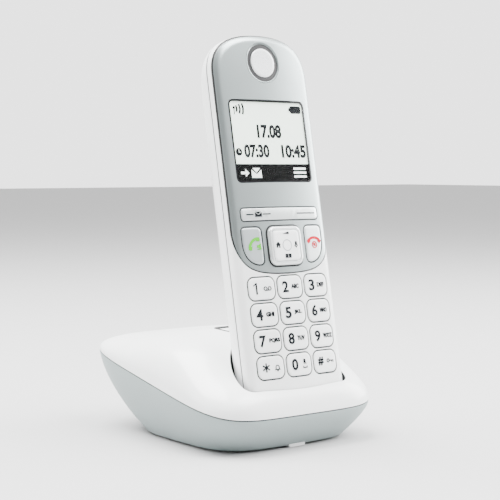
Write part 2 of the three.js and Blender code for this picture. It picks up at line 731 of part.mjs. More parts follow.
addToHandset(
  'keypad_mat',
  plate(centred(KEYPAD_MAT), KEYPAD_MAT.front, KEYPAD_MAT.back, 3),
  COLOUR.rubber,
);
addToHandset(
  'handset_circuit_board',
  plate(centred(HANDSET_BOARD), HANDSET_BOARD.front, HANDSET_BOARD.back, 3),
  COLOUR.board,
);

KEY_ROWS.forEach((names, row) => names.forEach((name, column) => {
  addToHandset(`key_${name}`, pushKey(keyOutline(column, row, 0)), COLOUR.white);
}));
addToHandset('talk_key', pushKey(sideKeyOutline(-1, 0)), COLOUR.white);
addToHandset('end_key', pushKey(sideKeyOutline(1, 0)), COLOUR.white);
addToHandset(
  'softkey_bar',
  plate(centred(SOFTKEY), -5, SOFTKEY.back, 3).intersect(behindFace(-SOFTKEY.rise)),
  COLOUR.silver,
);
addToHandset('nav_carrier', makeNavCarrier(), COLOUR.black);
addToHandset(
  'nav_key',
  plate(centred(NAV), -5, NAV.back, 4).intersect(behindFace(-NAV.rise)),
  COLOUR.silver,
);

[['left', -1], ['right', 1]].forEach(([hand, side]) => {
  const cell = post(side * CELL.x, CELL.y, CELL.low, CELL.low + CELL.length, CELL.radius, 28);
  addToHandset(`battery_cell_${hand}`, cell, COLOUR.cell);
  const pad = box(
    side * CONTACT.x - CHARGE_PAD.halfWidth, side * CONTACT.x + CHARGE_PAD.halfWidth,
    CONTACT.y - CHARGE_PAD.halfDepth, CONTACT.y + CHARGE_PAD.halfDepth,
    CHARGE_PAD.low, CHARGE_PAD.high,
  );
  addToHandset(`charge_pad_${hand}`, pad, COLOUR.metal);
  const screw = peg(side * SHELL_SCREW.x, SHELL_SCREW.z, 17.3, 18.9, SHELL_SCREW.headRadius, 16)
    .add(peg(side * SHELL_SCREW.x, SHELL_SCREW.z, 4.6, 17.5, SHELL_SCREW.shankRadius, 12));
  addToHandset(`shell_screw_${hand}`, screw, COLOUR.steel);
});
['lower', 'upper'].forEach((end) => {
  const z = SPRING[end];
  const strip = box(
    -SPRING.halfWidth, SPRING.halfWidth, SPRING.front, SPRING.back, z, z + SPRING.thickness,
  );
  addToHandset(`battery_spring_${end}`, strip, COLOUR.metal);
});

// ---------------------------------------------------------------- assembly

const phone = new THREE.Group();
phone.add(baseFrame, handsetFrame);

export default phone;
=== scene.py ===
"""Looks of a cordless telephone handset standing in its charging base.

Pieces are drawn in millimetres, either in the base's frame (x across, y to the back, z up, from the
floor) or in the handset's own frame (x across the face, y in through the face, z along the
handset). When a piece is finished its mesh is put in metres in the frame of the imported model.
"""
import json
import logging
import math
from contextlib import contextmanager
from dataclasses import dataclass, field
from enum import Enum
from typing import Callable, Iterator, Sequence

import bmesh
import bpy
from mathutils import Matrix, Vector


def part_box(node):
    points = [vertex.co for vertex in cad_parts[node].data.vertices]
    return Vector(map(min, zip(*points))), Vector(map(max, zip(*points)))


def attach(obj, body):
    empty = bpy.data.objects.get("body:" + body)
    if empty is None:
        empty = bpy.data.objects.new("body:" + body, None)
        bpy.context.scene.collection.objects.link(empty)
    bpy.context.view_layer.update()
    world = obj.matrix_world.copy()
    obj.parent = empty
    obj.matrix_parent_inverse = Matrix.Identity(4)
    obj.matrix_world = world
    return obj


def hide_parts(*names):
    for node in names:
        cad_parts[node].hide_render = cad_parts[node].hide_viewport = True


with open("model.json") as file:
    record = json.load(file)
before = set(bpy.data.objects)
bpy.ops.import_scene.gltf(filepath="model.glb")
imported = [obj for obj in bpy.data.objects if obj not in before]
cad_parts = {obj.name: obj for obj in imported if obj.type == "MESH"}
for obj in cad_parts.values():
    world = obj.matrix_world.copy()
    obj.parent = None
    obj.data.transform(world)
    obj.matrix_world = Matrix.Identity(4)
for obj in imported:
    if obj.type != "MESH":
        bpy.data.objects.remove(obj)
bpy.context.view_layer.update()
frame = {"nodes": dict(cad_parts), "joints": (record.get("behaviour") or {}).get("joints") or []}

LOG = logging.getLogger("cordless_phone")

MM = 0.001
Point = tuple[float, float]
Place = tuple[float, float, float]
Outline = list[Point]
Piece = bpy.types.Object

SMOOTH_BELOW = 32
BEVEL_ABOVE = 50
MERGE = 1e-5
AHEAD = -6.0
THROUGH = 5.5
DEEP = 12.0
PAST_BACK = 40.0


# ------------------------------------------------------------------ the two drawing frames


def joint_named(name: str) -> dict:
    """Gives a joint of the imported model.

    Args:
        name: the joint's name.

    Returns:
        The joint's entry in the record.
    """
    return next(joint for joint in frame["joints"] if joint["name"] == name)


COVER_HINGE_LOCAL = Vector((0, 26, 46)) * MM
LIFT_AXIS = Vector(joint_named("handset_lift")["axis"])
LEAN = math.atan2(LIFT_AXIS.y, LIFT_AXIS.z)
LEAN_TURN = Matrix.Rotation(-LEAN, 4, "X")
FOOT = Vector(joint_named("battery_cover_hinge")["pos_m"]) - LEAN_TURN @ COVER_HINGE_LOCAL


class Drawn(Enum):
    """The frame that a piece is drawn in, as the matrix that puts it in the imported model."""

    BASE = Matrix.Scale(MM, 4)
    HANDSET = Matrix.Translation(FOOT) @ LEAN_TURN @ Matrix.Scale(MM, 4)


# ------------------------------------------------------------------ bench tools


def only(piece: Piece) -> None:
    """Selects one piece and makes it active."""
    bpy.ops.object.select_all(action="DESELECT")
    piece.select_set(True)
    bpy.context.view_layer.objects.active = piece


@contextmanager
def editing(piece: Piece) -> Iterator[None]:
    """Opens a piece in edit mode with nothing selected, and closes it again."""
    only(piece)
    bpy.ops.object.mode_set(mode="EDIT")
    bpy.ops.mesh.select_mode(type="VERT")
    bpy.ops.mesh.select_all(action="DESELECT")
    yield
    bpy.ops.object.mode_set(mode="OBJECT")


def ring_stack(name: str, sides: int, rings: Sequence, place: Callable[[int, object], Place]) -> Piece:
    """Makes a closed body by extruding a disc from ring to ring.

    Args:
        name: name of the new object.
        sides: points on each ring.
        rings: one value for each ring, first to last.
        place: gives the place of a ring's numbered point.

    Returns:
        The closed mesh object, with its faces pointing out.
    """
    bpy.ops.object.select_all(action="DESELECT")
    bpy.ops.mesh.primitive_circle_add(vertices=sides, radius=1, fill_type="NGON")
    piece = bpy.context.object
    piece.name = name
    with editing(piece):
        mesh = bmesh.from_edit_mesh(piece.data)
        station = mesh.verts.layers.int.new("station")
        for vertex in mesh.verts:
            vertex[station] = vertex.index
            vertex.co = place(vertex.index, rings[0])
        bmesh.update_edit_mesh(piece.data)
        bpy.ops.mesh.select_all(action="SELECT")
        for ring in rings[1:]:
            bpy.ops.mesh.extrude_region_move()
            mesh = bmesh.from_edit_mesh(piece.data)
            station = mesh.verts.layers.int["station"]
            for vertex in mesh.verts:
                if vertex.select:
                    vertex.co = place(vertex[station], ring)
            bmesh.update_edit_mesh(piece.data)
        bpy.ops.mesh.select_all(action="SELECT")
        bpy.ops.mesh.remove_doubles(threshold=MERGE)
        bpy.ops.mesh.normals_make_consistent(inside=False)
    return piece


def upright(name: str, plan: Outline, heights: Sequence[float]) -> Piece:
    """Makes a straight block that stands on a plan, with a ring at each height."""
    return ring_stack(name, len(plan), heights, lambda i, z: (*plan[i], z))


def cut_at(piece: Piece, depth: float, keep: int) -> None:
    """Cuts a handset solid at a depth, closes the cut, and keeps one side of it.

    Args:
        piece: the solid.
        depth: depth of the cut.
        keep: -1 keeps what lies in front of the cut, and 1 what lies behind it.
    """
    with editing(piece):
        bpy.ops.mesh.select_all(action="SELECT")
        bpy.ops.mesh.bisect(plane_co=(0, depth, 0), plane_no=(0, -keep, 0), use_fill=True, clear_outer=True)


def carve(piece: Piece, tool: Piece, how: str = "DIFFERENCE") -> None:
    """Applies a boolean to a piece and throws the tool away.

    Args:
        piece: the mesh that is cut or joined to.
        tool: the mesh that cuts or joins.
        how: DIFFERENCE, UNION or INTERSECT.
    """
    modifier = piece.modifiers.new("carve", "BOOLEAN")
    modifier.operation = how
    modifier.solver = "EXACT"
    modifier.object = tool
    only(piece)
    bpy.ops.object.modifier_apply(modifier=modifier.name)
    bpy.data.objects.remove(tool)


def joined(parts: Sequence[Piece], name: str) -> Piece:
    """Joins meshes into one object, keeping each one's material."""
    only(parts[0])
    for part in parts[1:]:
        part.select_set(True)
    if len(parts) > 1:
        bpy.ops.object.join()
    parts[0].name = name
    return parts[0]


def copied(piece: Piece, name: str, shift: Place = (0, 0, 0)) -> Piece:
    """Copies a piece, with a mesh of its own, and moves the mesh."""
    twin = piece.copy()
    twin.data = piece.data.copy()
    twin.data.transform(Matrix.Translation(shift))
    twin.name = name
    bpy.context.scene.collection.objects.link(twin)
    return twin


def soften(piece: Piece, width: float, segments: int) -> None:
    """Bevels the sharp edges of a piece, to a width in its own units."""
    modifier = piece.modifiers.new("soften", "BEVEL")
    modifier.width = width
    modifier.segments = segments
    modifier.limit_method = "ANGLE"
    modifier.angle_limit = math.radians(BEVEL_ABOVE)
    modifier.harden_normals = False
    only(piece)
    bpy.ops.object.modifier_apply(modifier=modifier.name)


def finish_piece(
    piece: Piece, body: str, drawn: Drawn, replaces: Sequence[str] = (),
) -> Piece:
    """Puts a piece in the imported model's frame and says what it rides on.

    Args:
        piece: the finished mesh, drawn in millimetres.
        body: the CAD body that it moves with.
        drawn: the frame it was drawn in.
        replaces: CAD nodes that it stands for.

    Returns:
        The same piece.
    """
    piece.data.transform(drawn.value)
    piece.data.update()
    only(piece)
    bpy.ops.object.shade_smooth_by_angle(angle=math.radians(SMOOTH_BELOW))
    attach(piece, body)
    if replaces:
        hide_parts(*replaces)
    LOG.info("%s: %d faces on %s", piece.name, len(piece.data.polygons), body)
    return piece


# ------------------------------------------------------------------ outlines


def mixed(low: float, high: float, share: float) -> float:
    """Goes from low to high as share goes from 0 to 1."""
    return low + (high - low) * share


def rounded_rectangle(x0: float, x1: float, y0: float, y1: float, radius: float, steps: int = 7) -> Outline:
    """Rectangle with round corners, counter-clockwise from its lower right corner.

    Args:
        x0: left side.
        x1: right side.
        y0: lower side.
        y1: upper side.
        radius: radius of the corners.
        steps: steps round each corner.

    Returns:
        The outline's points.
    """
    centres = [(x1 - radius, y0 + radius), (x1 - radius, y1 - radius),
               (x0 + radius, y1 - radius), (x0 + radius, y0 + radius)]
    points = []
    for corner, (x, y) in enumerate(centres):
        for step in range(steps + 1):
            turn = math.radians(90) * (corner - 1 + step / steps)
            points.append((x + radius * math.cos(turn), y + radius * math.sin(turn)))
    return points


def circle(x: float, y: float, radius: float, steps: int = 48) -> Outline:
    """Circle about a point, counter-clockwise."""
    turns = [math.tau * step / steps for step in range(steps)]
    return [(x + radius * math.cos(turn), y + radius * math.sin(turn)) for turn in turns]


def cubic(values: Sequence[float], t: float) -> float:
    """Value of a cubic curve of one number, from its start, two handles and end."""
    weights = ((1 - t) ** 3, 3 * t * (1 - t) ** 2, 3 * t * t * (1 - t), t ** 3)
    return sum(weight * value for weight, value in zip(weights, values))


def bezier(points: Sequence[Point], steps: int) -> Outline:
    """Points along a cubic curve, without its last one.

    Args:
        points: the curve's start, two handles and end.
        steps: number of points.

    Returns:
        Points at equal steps of the curve's parameter.
    """
    across, up = zip(*points)
    return [(cubic(across, step / steps), cubic(up, step / steps)) for step in range(steps)]


def line(start: Point, end: Point, steps: int) -> Outline:
    """Points along a straight line, without its last one."""
    shares = [step / steps for step in range(steps)]
    return [(mixed(start[0], end[0], s), mixed(start[1], end[1], s)) for s in shares]


def shrunk(outline: Outline, inset: float) -> Outline:
    """Moves each point of a counter-clockwise outline inwards.

    Args:
        outline: the outline's points.
        inset: how far each point moves, or outwards when negative.

    Returns:
        The moved points, in the same order.
    """
    count = len(outline)
    moved = []
    for index, (x, y) in enumerate(outline):
        before, after = outline[index - 1], outline[(index + 1) % count]
        along = Vector((after[0] - before[0], after[1] - before[1])).normalized()
        moved.append((x - along.y * inset, y + along.x * inset))
    return moved


def finely(outline: Outline, longest: float) -> Outline:
    """Splits an outline's sides so that none is longer than a given length."""
    points = []
    for start, end in zip(outline, [*outline[1:], outline[0]]):
        points += line(start, end, max(1, math.ceil(math.dist(start, end) / longest)))
    return points


def toward_middle(outline: Outline, share: float) -> Outline:
    """Scales an outline about its middle."""
    x = sum(point[0] for point in outline) / len(outline)
    y = sum(point[1] for point in outline) / len(outline)
    return [(mixed(x, px, share), mixed(y, py, share)) for px, py in outline]


def super_radius(cos: float, sin: float, power: float) -> float:
    """Distance from the middle to a unit superellipse, in a direction."""
    return (abs(cos) ** power + abs(sin) ** power) ** (-1 / power)


# ------------------------------------------------------------------ finishes


@dataclass(frozen=True)
class Finish:
    """A moulded, lacquered or printed surface with fine grain and slight unevenness.

    Attributes:
        name: name of the material.
        colour: base colour.
        roughness: middle roughness.
        metallic: share of metal.
        coat: strength of the clear top coat.
        grain: size of the surface grain, in metres.
        bump: height of the grain, in metres.
        uneven: how far colour and roughness wander from the middle.
        alpha: opacity.
        specular: strength of the uncoated reflection.
        glow: strength of the light that it gives off.
    """

    name: str
    colour: tuple[float, float, float]
    roughness: float
    metallic: float = 0.0
    coat: float = 0.0
    grain: float = 0.0004
    bump: float = 0.000004
    uneven: float = 0.02
    alpha: float = 1.0
    specular: float = 0.5
    glow: float = 0.0

    def material(self) -> bpy.types.Material:
        """Gives the finish's material, made once.

        Returns:
            A node material that reads Object coordinates.
        """
        made = bpy.data.materials.get(self.name)
        if made:
            return made
        made = bpy.data.materials.new(self.name)
        made.use_nodes = True
        tree = made.node_tree
        shader = tree.nodes["Principled BSDF"]
        shader.inputs["Metallic"].default_value = self.metallic
        shader.inputs["Coat Weight"].default_value = self.coat
        shader.inputs["Coat Roughness"].default_value = 0.08
        shader.inputs["Alpha"].default_value = self.alpha
        shader.inputs["Emission Color"].default_value = (*self.colour, 1)
        shader.inputs["Emission Strength"].default_value = self.glow
        shader.inputs["Specular IOR Level"].default_value = self.specular
        place = tree.nodes.new("ShaderNodeTexCoord").outputs["Object"]
        cloud = self._noise(tree, place, 1 / 0.02, 3)
        tint = tree.nodes.new("ShaderNodeValToRGB")
        for element, share in zip(tint.color_ramp.elements, (1 - self.uneven, 1 + self.uneven)):
            element.color = (*[min(1, part * share) for part in self.colour], 1)
        tint.color_ramp.elements[0].position = 0.3
        tint.color_ramp.elements[1].position = 0.7
        tree.links.new(cloud, tint.inputs["Fac"])
        tree.links.new(tint.outputs["Color"], shader.inputs["Base Color"])
        speck = self._noise(tree, place, 1 / self.grain, 2)
        gloss = tree.nodes.new("ShaderNodeMapRange")
        gloss.inputs["To Min"].default_value = self.roughness * 0.88
        gloss.inputs["To Max"].default_value = self.roughness * 1.12
        tree.links.new(speck, gloss.inputs["Value"])
        tree.links.new(gloss.outputs["Result"], shader.inputs["Roughness"])
        bump = tree.nodes.new("ShaderNodeBump")
        bump.inputs["Distance"].default_value = self.bump
        bump.inputs["Strength"].default_value = 0.6
        tree.links.new(speck, bump.inputs["Height"])
        tree.links.new(bump.outputs["Normal"], shader.inputs["Normal"])
        return made

    @staticmethod
    def _noise(
        tree: bpy.types.NodeTree, place: bpy.types.NodeSocket, scale: float, detail: float,
    ) -> bpy.types.NodeSocket:
        """Adds a noise texture and gives its factor."""
        noise = tree.nodes.new("ShaderNodeTexNoise")
        noise.inputs["Scale"].default_value = scale
        noise.inputs["Detail"].default_value = detail
        tree.links.new(place, noise.inputs["Vector"])
        return noise.outputs["Fac"]


@dataclass(frozen=True)
class BoardFinish(Finish):
    """Solder mask with rows of paler tracks."""

    def material(self) -> bpy.types.Material:
        """Gives the board's material, with its tracks.

        Returns:
            A node material that reads Object coordinates.
        """
        known = bpy.data.materials.get(self.name)
        if known:
            return known
        made = super().material()
        tree = made.node_tree
        shader = tree.nodes["Principled BSDF"]
        tracks = tree.nodes.new("ShaderNodeTexBrick")
        tracks.inputs["Scale"].default_value = 160
        tracks.inputs["Mortar Size"].default_value = 0.06
        tracks.inputs["Color1"].default_value = (*self.colour, 1)
        tracks.inputs["Color2"].default_value = (*[part * 0.85 for part in self.colour], 1)
        tracks.inputs["Mortar"].default_value = (0.35, 0.5, 0.3, 1)
        place = tree.nodes.new("ShaderNodeTexCoord").outputs["Object"]
        tree.links.new(place, tracks.inputs["Vector"])
        tree.links.new(tracks.outputs["Color"], shader.inputs["Base Color"])
        return made


SHELL_WHITE = Finish("shell_white", (0.9, 0.915, 0.91), 0.3, coat=0.3, grain=0.0006)
# Painted shade: the white hull is coloured dark grey-teal so that it reads shaded under the cover.
HULL_PAINTED_SHADE = Finish("hull_painted_shade", (0.29, 0.345, 0.345), 0.42, grain=0.0005, bump=0.000006)
KEY_WHITE = Finish("key_white", (0.92, 0.94, 0.935), 0.34, coat=0.15, grain=0.0004)
SILVER = Finish("silver_lacquer", (0.38, 0.43, 0.43), 0.3, metallic=0.75, grain=0.00012, bump=0.000003)
NAV_SILVER = Finish("nav_silver", (0.8, 0.83, 0.83), 0.25, metallic=0.5, grain=0.00012, bump=0.000002)
# Painted shade: the talk key's silver is a darker copy of the end key's, for the face's darker left side.
TALK_SILVER_PAINTED_SHADE = Finish("talk_silver_painted_shade", (0.42, 0.46, 0.47), 0.33, metallic=0.35, grain=0.00012, bump=0.000002)
END_SILVER = Finish("end_silver", (0.72, 0.77, 0.77), 0.33, metallic=0.3, grain=0.00012, bump=0.000002)
SOFTKEY_SILVER = Finish("softkey_silver", (0.74, 0.78, 0.78), 0.3, metallic=0.5, grain=0.00012, bump=0.000002)
# Painted shade: the pocket's walls are near-black for the shadow inside the pocket.
POCKET_PAINTED_SHADE = Finish("pocket_painted_shade", (0.025, 0.027, 0.028), 0.6, grain=0.0004, bump=0.000006)
DISC_PEARL = Finish("disc_pearl", (0.88, 0.9, 0.91), 0.28, metallic=0.25, coat=0.3, bump=0.000002)
GREY_LINE = Finish("grey_line", (0.32, 0.34, 0.35), 0.5, bump=0.000001)
# Near-black: the own colour of inner parts, and painted shade in the dark sheets that fill the seams and the
# gaps round the page key and the panel.
SOFT_BLACK_AND_GAP_SHADE = Finish("soft_black_and_gap_shade", (0.012, 0.012, 0.013), 0.4, grain=0.0003)
GLOSS_BLACK = Finish("gloss_black", (0.004, 0.004, 0.005), 0.3, grain=0.0006, bump=0.000001, specular=0.25)
SCREEN_BLACK = Finish("screen_black", (0.001, 0.0012, 0.0012), 0.5, bump=0.000001, specular=0.05)
INK = Finish("ink_dark", (0.01, 0.012, 0.014), 0.6, bump=0.000001, specular=0.05)
INK_GREEN = Finish("ink_green", (0.07, 0.42, 0.01), 0.6, bump=0.000001, specular=0.1)
INK_RED = Finish("ink_red", (0.5, 0.002, 0.02), 0.6, bump=0.000001, specular=0.1)
# The pale screen and its white signs glow: painted light that brightens them.
SCREEN_PAINTED_GLOW = Finish("screen_pale_painted_glow", (0.84, 0.95, 0.85), 0.45, grain=0.00018, bump=0.000002, uneven=0.015, glow=1.6)
SCREEN_LIGHT_PAINTED_GLOW = Finish("screen_light_painted_glow", (0.9, 0.96, 0.92), 0.45, bump=0.000001, glow=1.2)
LENS = Finish("clear_lens", (0.01, 0.012, 0.012), 0.04, bump=0.0000002, uneven=0.0, alpha=0.06)
RUBBER = Finish("grey_rubber", (0.2, 0.21, 0.21), 0.75, grain=0.0003, bump=0.00001, uneven=0.06)
# Near-black rubber: the keypad mat's own colour, and painted shade on the key skirts that fill the gaps round
# the keys.
MAT_RUBBER_AND_GAP_SHADE = Finish("mat_rubber_and_gap_shade", (0.008, 0.009, 0.01), 0.7, grain=0.0003, bump=0.00001, uneven=0.06)
GOLD = Finish("gold_plate", (0.83, 0.62, 0.27), 0.24, metallic=1.0, bump=0.000002)
STEEL = Finish("zinc_steel", (0.6, 0.61, 0.62), 0.3, metallic=1.0, bump=0.000003)
SLEEVE = Finish("cell_sleeve", (0.05, 0.3, 0.12), 0.32, coat=0.3)
BOARD = BoardFinish("solder_mask", (0.03, 0.16, 0.07), 0.4)


def dress(piece: Piece, finish: Finish, cuts: Finish | None = None) -> Piece:
    """Gives a piece one finish all over, or a second one where a marked tool has cut it.

    Args:
        piece: the mesh.
        finish: finish of the piece.
        cuts: finish of the faces that a marked tool left.

    Returns:
        The same piece.
    """
    marked = [face.index for face in piece.data.polygons if face.material_index == 1] if cuts else []
    piece.data.materials.clear()
    piece.data.materials.append(finish.material())
    if cuts:
        piece.data.materials.append(cuts.material())
    for index in marked:
        piece.data.polygons[index].material_index = 1
    return piece


def marking(tool: Piece) -> Piece:
    """Marks a tool, so that the faces it leaves can take a finish of their own: the pocket's near-black
    painted shade.
    """
    tool.data.materials.append(SHELL_WHITE.material())
    tool.data.materials.append(POCKET_PAINTED_SHADE.material())
    for face in tool.data.polygons:
        face.material_index = 1
    return tool


# ------------------------------------------------------------------ flat marks


@dataclass
class Marks:
    """Thin printed marks that lie on a key or on the display.

    Attributes:
        finish: the ink.
        surface: depth of the surface that carries them.
        thickness: how far they stand off it.
        sunk: how far they reach into it.
        longest: longest side of their outlines, so that they bend with the surface.
        parts: the marks made so far.
    """

    finish: Finish
    surface: float
    thickness: float = 0.14
    sunk: float = 0.02
    longest: float = 0.8
    parts: list[Piece] = field(default_factory=list)

    def area(self, outline: Outline) -> None:
        """Adds a filled outline."""
        fine = finely(outline, self.longest)
        depths = (self.surface + self.sunk, self.surface - self.thickness)
        part = ring_stack("mark", len(fine), depths, lambda i, y: (fine[i][0], y, fine[i][1]))
        self.parts.append(dress(part, self.finish))

    def box(self, x0: float, x1: float, z0: float, z1: float, radius: float = 0.1) -> None:
        """Adds a filled rectangle with slightly round corners."""
        self.area(rounded_rectangle(x0, x1, z0, z1, radius, 3))

    def arc(self, x: float, z: float, radius: float, width: float, start: float, end: float) -> None:
        """Adds a band along an arc.

        Args:
            x: centre of the arc, across.
            z: centre of the arc, along.
            radius: middle radius.
            width: width of the band.
            start: first angle, in degrees.
            end: last angle, in degrees.
        """
        steps = max(6, int(abs(end - start) / 10))
        turns = [math.radians(mixed(start, end, step / steps)) for step in range(steps + 1)]

        def edge(reach: float) -> Outline:
            return [(x + reach * math.cos(turn), z + reach * math.sin(turn)) for turn in turns]

        self.area(edge(radius + width / 2) + edge(radius - width / 2)[::-1])

    def ring(self, x: float, z: float, radius: float, width: float) -> None:
        """Adds a closed ring as two half bands."""
        self.arc(x, z, radius, width, 0, 180)
        self.arc(x, z, radius, width, 180, 360)

    def one(self, left: float, foot: float, height: float) -> None:
        """Adds a figure one: a stem with a short flag."""
        stem = left + 1.15
        self.box(stem, stem + 0.66, foot, foot + height, 0.06)
        top = foot + height
        self.area([
            (left, top - 1.0), (left + 0.1, top - 1.35),
            (stem + 0.2, top - 0.6), (stem + 0.2, top - 0.05),
        ])

    def text(self, words: str, left: float, foot: float, height: float, width: float, weight: float) -> None:
        """Adds characters in the program's own plain font.

        Args:
            words: the characters.
            left: left end of the line.
            foot: foot of the line.
            height: height of the characters.
            width: width of the line.
            weight: how much the strokes are thickened, as a share of the height.
        """
        bpy.ops.object.select_all(action="DESELECT")
        bpy.ops.object.text_add()
        letters = bpy.context.object
        letters.data.body = words
        letters.data.extrude = 0.01
        letters.data.offset = weight
        letters.data.resolution_u = 4
        bpy.ops.object.convert(target="MESH")
        part = bpy.context.object
        low = [min(vertex.co[k] for vertex in part.data.vertices) for k in range(3)]
        high = [max(vertex.co[k] for vertex in part.data.vertices) for k in range(3)]
        size = [high[k] - low[k] for k in range(3)]
        for vertex in part.data.vertices:
            across, up, out = ((vertex.co[k] - low[k]) / size[k] for k in range(3))
            depth = self.surface + self.sunk - out * (self.thickness + self.sunk)
            vertex.co = (left + across * width, depth, foot + up * height)
        with editing(part):
            bpy.ops.mesh.select_all(action="SELECT")
            bpy.ops.mesh.remove_doubles(threshold=MERGE)
            bpy.ops.mesh.normals_make_consistent(inside=False)
        self.parts.append(dress(part, self.finish))


# ------------------------------------------------------------------ base


@dataclass
class ChargingBase:
    """The base: hull, saddle-shaped cover with its pocket, a dark sheet of painted shade in the seam, page
    key and feet.
    """

    half_width: float = 43.6
    half_depth: float = 52.2
    corner_power: float = 5.1
    seam_front: float = 14.3
    seam_slope: float = 0.2
    underside: float = 1.0
    floor_half_width: float = 35.0
    floor_front: float = -44.0
    floor_back: float = 26.4
    floor_corner_power: float = 4.0
    side_power: float = 1.5
    wall: float = 2.0
    rim: float = 0.45
    crown_span: float = 360.0
    seam_gap: float = 0.3
    seam_groove: float = 0.25
    pocket_half_width: float = 26.8
    pocket_front: float = -0.5
    pocket_back: float = 26.7
    pocket_floor: float = -0.5
    pocket_top: float = 60.0
    tub_wall: float = 1.6
    floor_step: float = 0.1
    foot_column: float = 24.0
    foot_rows: dict[str, float] = field(default_factory=lambda: {"front": -35.0, "back": 17.0})
    screw: Point = (27.0, 10.0)
    socket_column: float = 9.6
    mouth_half: float = 5.1
    mouth_heights: Point = (15.8, 23.7)
    mouth_depth: float = 12.0
    page_key: tuple[float, ...] = (-9.2, 9.2, -11.3, 2.1, 5.0)
    page_opening: tuple[float, ...] = (-10.0, 10.0, -12.6, 2.7, 6.0)
    # Plan of the dark ring of painted shade round the page key.
    page_shade_ring: tuple[float, ...] = (-10.1, 10.1, -12.7, 2.8, 6.1)
    # Sizes of the dark sheet of painted shade in the seam.
    seam_shade_inset: float = 0.35
    seam_shade_inside: float = 1.5
    seam_shade_half: float = 0.6
    crest: tuple[Point, ...] = (
        (-52.2, 14.7), (-51.2, 19), (-49.6, 22.4), (-47.6, 24.6), (-41.6, 28.5), (-34.6, 32.3),
        (-25.6, 38), (-17.6, 42), (-9.6, 44), (-1.6, 44.4), (10.4, 43.4), (25.4, 41.6),
        (38.4, 40), (45.4, 39), (50, 37.4), (52.2, 35.6),
    )
    stations: int = 144

    def seam(self, y: float) -> float:
        """Height of the seam between hull and cover."""
        return self.seam_front + self.seam_slope * (y + self.half_depth)

    def crest_height(self, y: float) -> float:
        """Height of the cover's centre line.

        Args:
            y: distance back from the middle.

        Returns:
            Height by cubic interpolation through the crest's points.
        """
        last = len(self.crest) - 1
        index = max(0, min(last - 1, sum(point[0] <= y for point in self.crest) - 1))

        def slope(at: int) -> float:
            low, high = self.crest[max(0, at - 1)], self.crest[min(last, at + 1)]
            return (high[1] - low[1]) / (high[0] - low[0])

        (y0, z0), (y1, z1) = self.crest[index], self.crest[index + 1]
        span = y1 - y0
        t = max(0.0, min(1.0, (y - y0) / span))
        blend = z0 + (z1 - z0) * (3 * t * t - 2 * t ** 3)
        return blend + span * ((t ** 3 - 2 * t * t + t) * slope(index) + (t ** 3 - t * t) * slope(index + 1))

    def cover_height(self, x: float, y: float) -> float:
        """Height of the cover's outer surface."""
        along = min(1.0, abs(y) / self.half_depth) ** self.corner_power
        half = self.half_width * max(1e-6, 1 - along) ** (1 / self.corner_power)
        across = min(1.0, abs(x) / half)
        foot = self.seam(y) + self.rim
        return foot + max(0.0, self.crest_height(y) - foot) * math.sqrt(1 - across ** 4)

    def direction(self, station: int) -> Point:
        """Cosine and sine of a station's direction from the middle."""
        turn = math.tau * station / self.stations
        return math.cos(turn), math.sin(turn)

    def hull_place(self, station: int, ring: tuple[float, float, float]) -> Place:
        """Place of a point of the hull.

        Args:
            station: number of the point on its ring.
            ring: reach from the middle, step from floor to seam, and inset.

        Returns:
            The point.
        """
        reach, step, inset = ring
        cos, sin = self.direction(station)
        spread = 1 - (1 - max(0.0, min(1.0, step))) ** self.side_power
        power = mixed(self.floor_corner_power, self.corner_power, spread)
        front = mixed(self.floor_front, -self.half_depth, spread) + inset
        back = mixed(self.floor_back, self.half_depth, spread) - inset
        half = mixed(self.floor_half_width, self.half_width, spread) - inset
        radius = reach * super_radius(cos, sin, power)
        y = (front + back) / 2 + (back - front) / 2 * radius * sin
        rise = self.seam(y) - self.seam_groove - self.underside
        return half * radius * cos, y, self.underside + rise * step

    def cover_place(self, station: int, ring: tuple[float, float, float]) -> Place:
        """Place of a point of the cover.

        Args:
            station: number of the point on its ring.
            ring: reach from the middle, inset, and share of the height above the seam.

        Returns:
            The point.
        """
        reach, inset, share = ring
        cos, sin = self.direction(station)
        radius = reach * super_radius(cos, sin, self.corner_power)
        top = self.cover_height(self.half_width * radius * cos, self.half_depth * radius * sin) - inset
        x, y = (self.half_width - inset) * radius * cos, (self.half_depth - inset) * radius * sin
        return x, y, mixed(self.seam(y) + self.seam_gap, top, share)

    def make_hull(self) -> None:
        """Makes the hull: a thin-walled tub with foot wells, screw wells and socket mouths."""
        climb = [
            0.0, 0.008, 0.02, 0.04, 0.07, 0.11, 0.16, 0.22, 0.3, 0.38,
            0.47, 0.56, 0.65, 0.74, 0.83, 0.91, 0.97, 0.992, 1.0,
        ]
        rings = [(reach, 0.0, 0.0) for reach in (0.02, 0.25, 0.5, 0.75, 0.9, 0.97, 0.99)]
        rings += [(1.0, step, 0.0) for step in climb]
        rings += [(1.0, step, self.wall) for step in climb[::-1] if step > self.floor_step]
        rings += [(reach, self.floor_step, self.wall) for reach in (0.97, 0.5, 0.02)]
        hull = ring_stack("base_hull", self.stations, rings, self.hull_place)
        for side in (-1, 1):
            for y in self.foot_rows.values():
                carve(hull, drum("well", (side * self.foot_column, y), -1, 1.6, 4.3))
            screw_x, screw_y = self.screw
            carve(hull, drum("well", (side * screw_x, screw_y), -1, 2.2, 3.0))
            low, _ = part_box("power_socket" if side < 0 else "line_socket")
            middle = side * self.socket_column
            sides = middle - self.mouth_half, middle + self.mouth_half
            mouth = rounded_rectangle(*sides, *self.mouth_heights, 0.6, 3)
            carve(hull, face_prism("mouth", mouth, low.y / MM + self.mouth_depth, 80))
        tab = rounded_rectangle(-4.2, 4.2, -44.6, -41, 0.6, 4)
        lip = upright("front_tab", tab, (0.15, 0.3, 1.4))
        finish_piece(dress(lip, SHELL_WHITE), "base", Drawn.BASE)
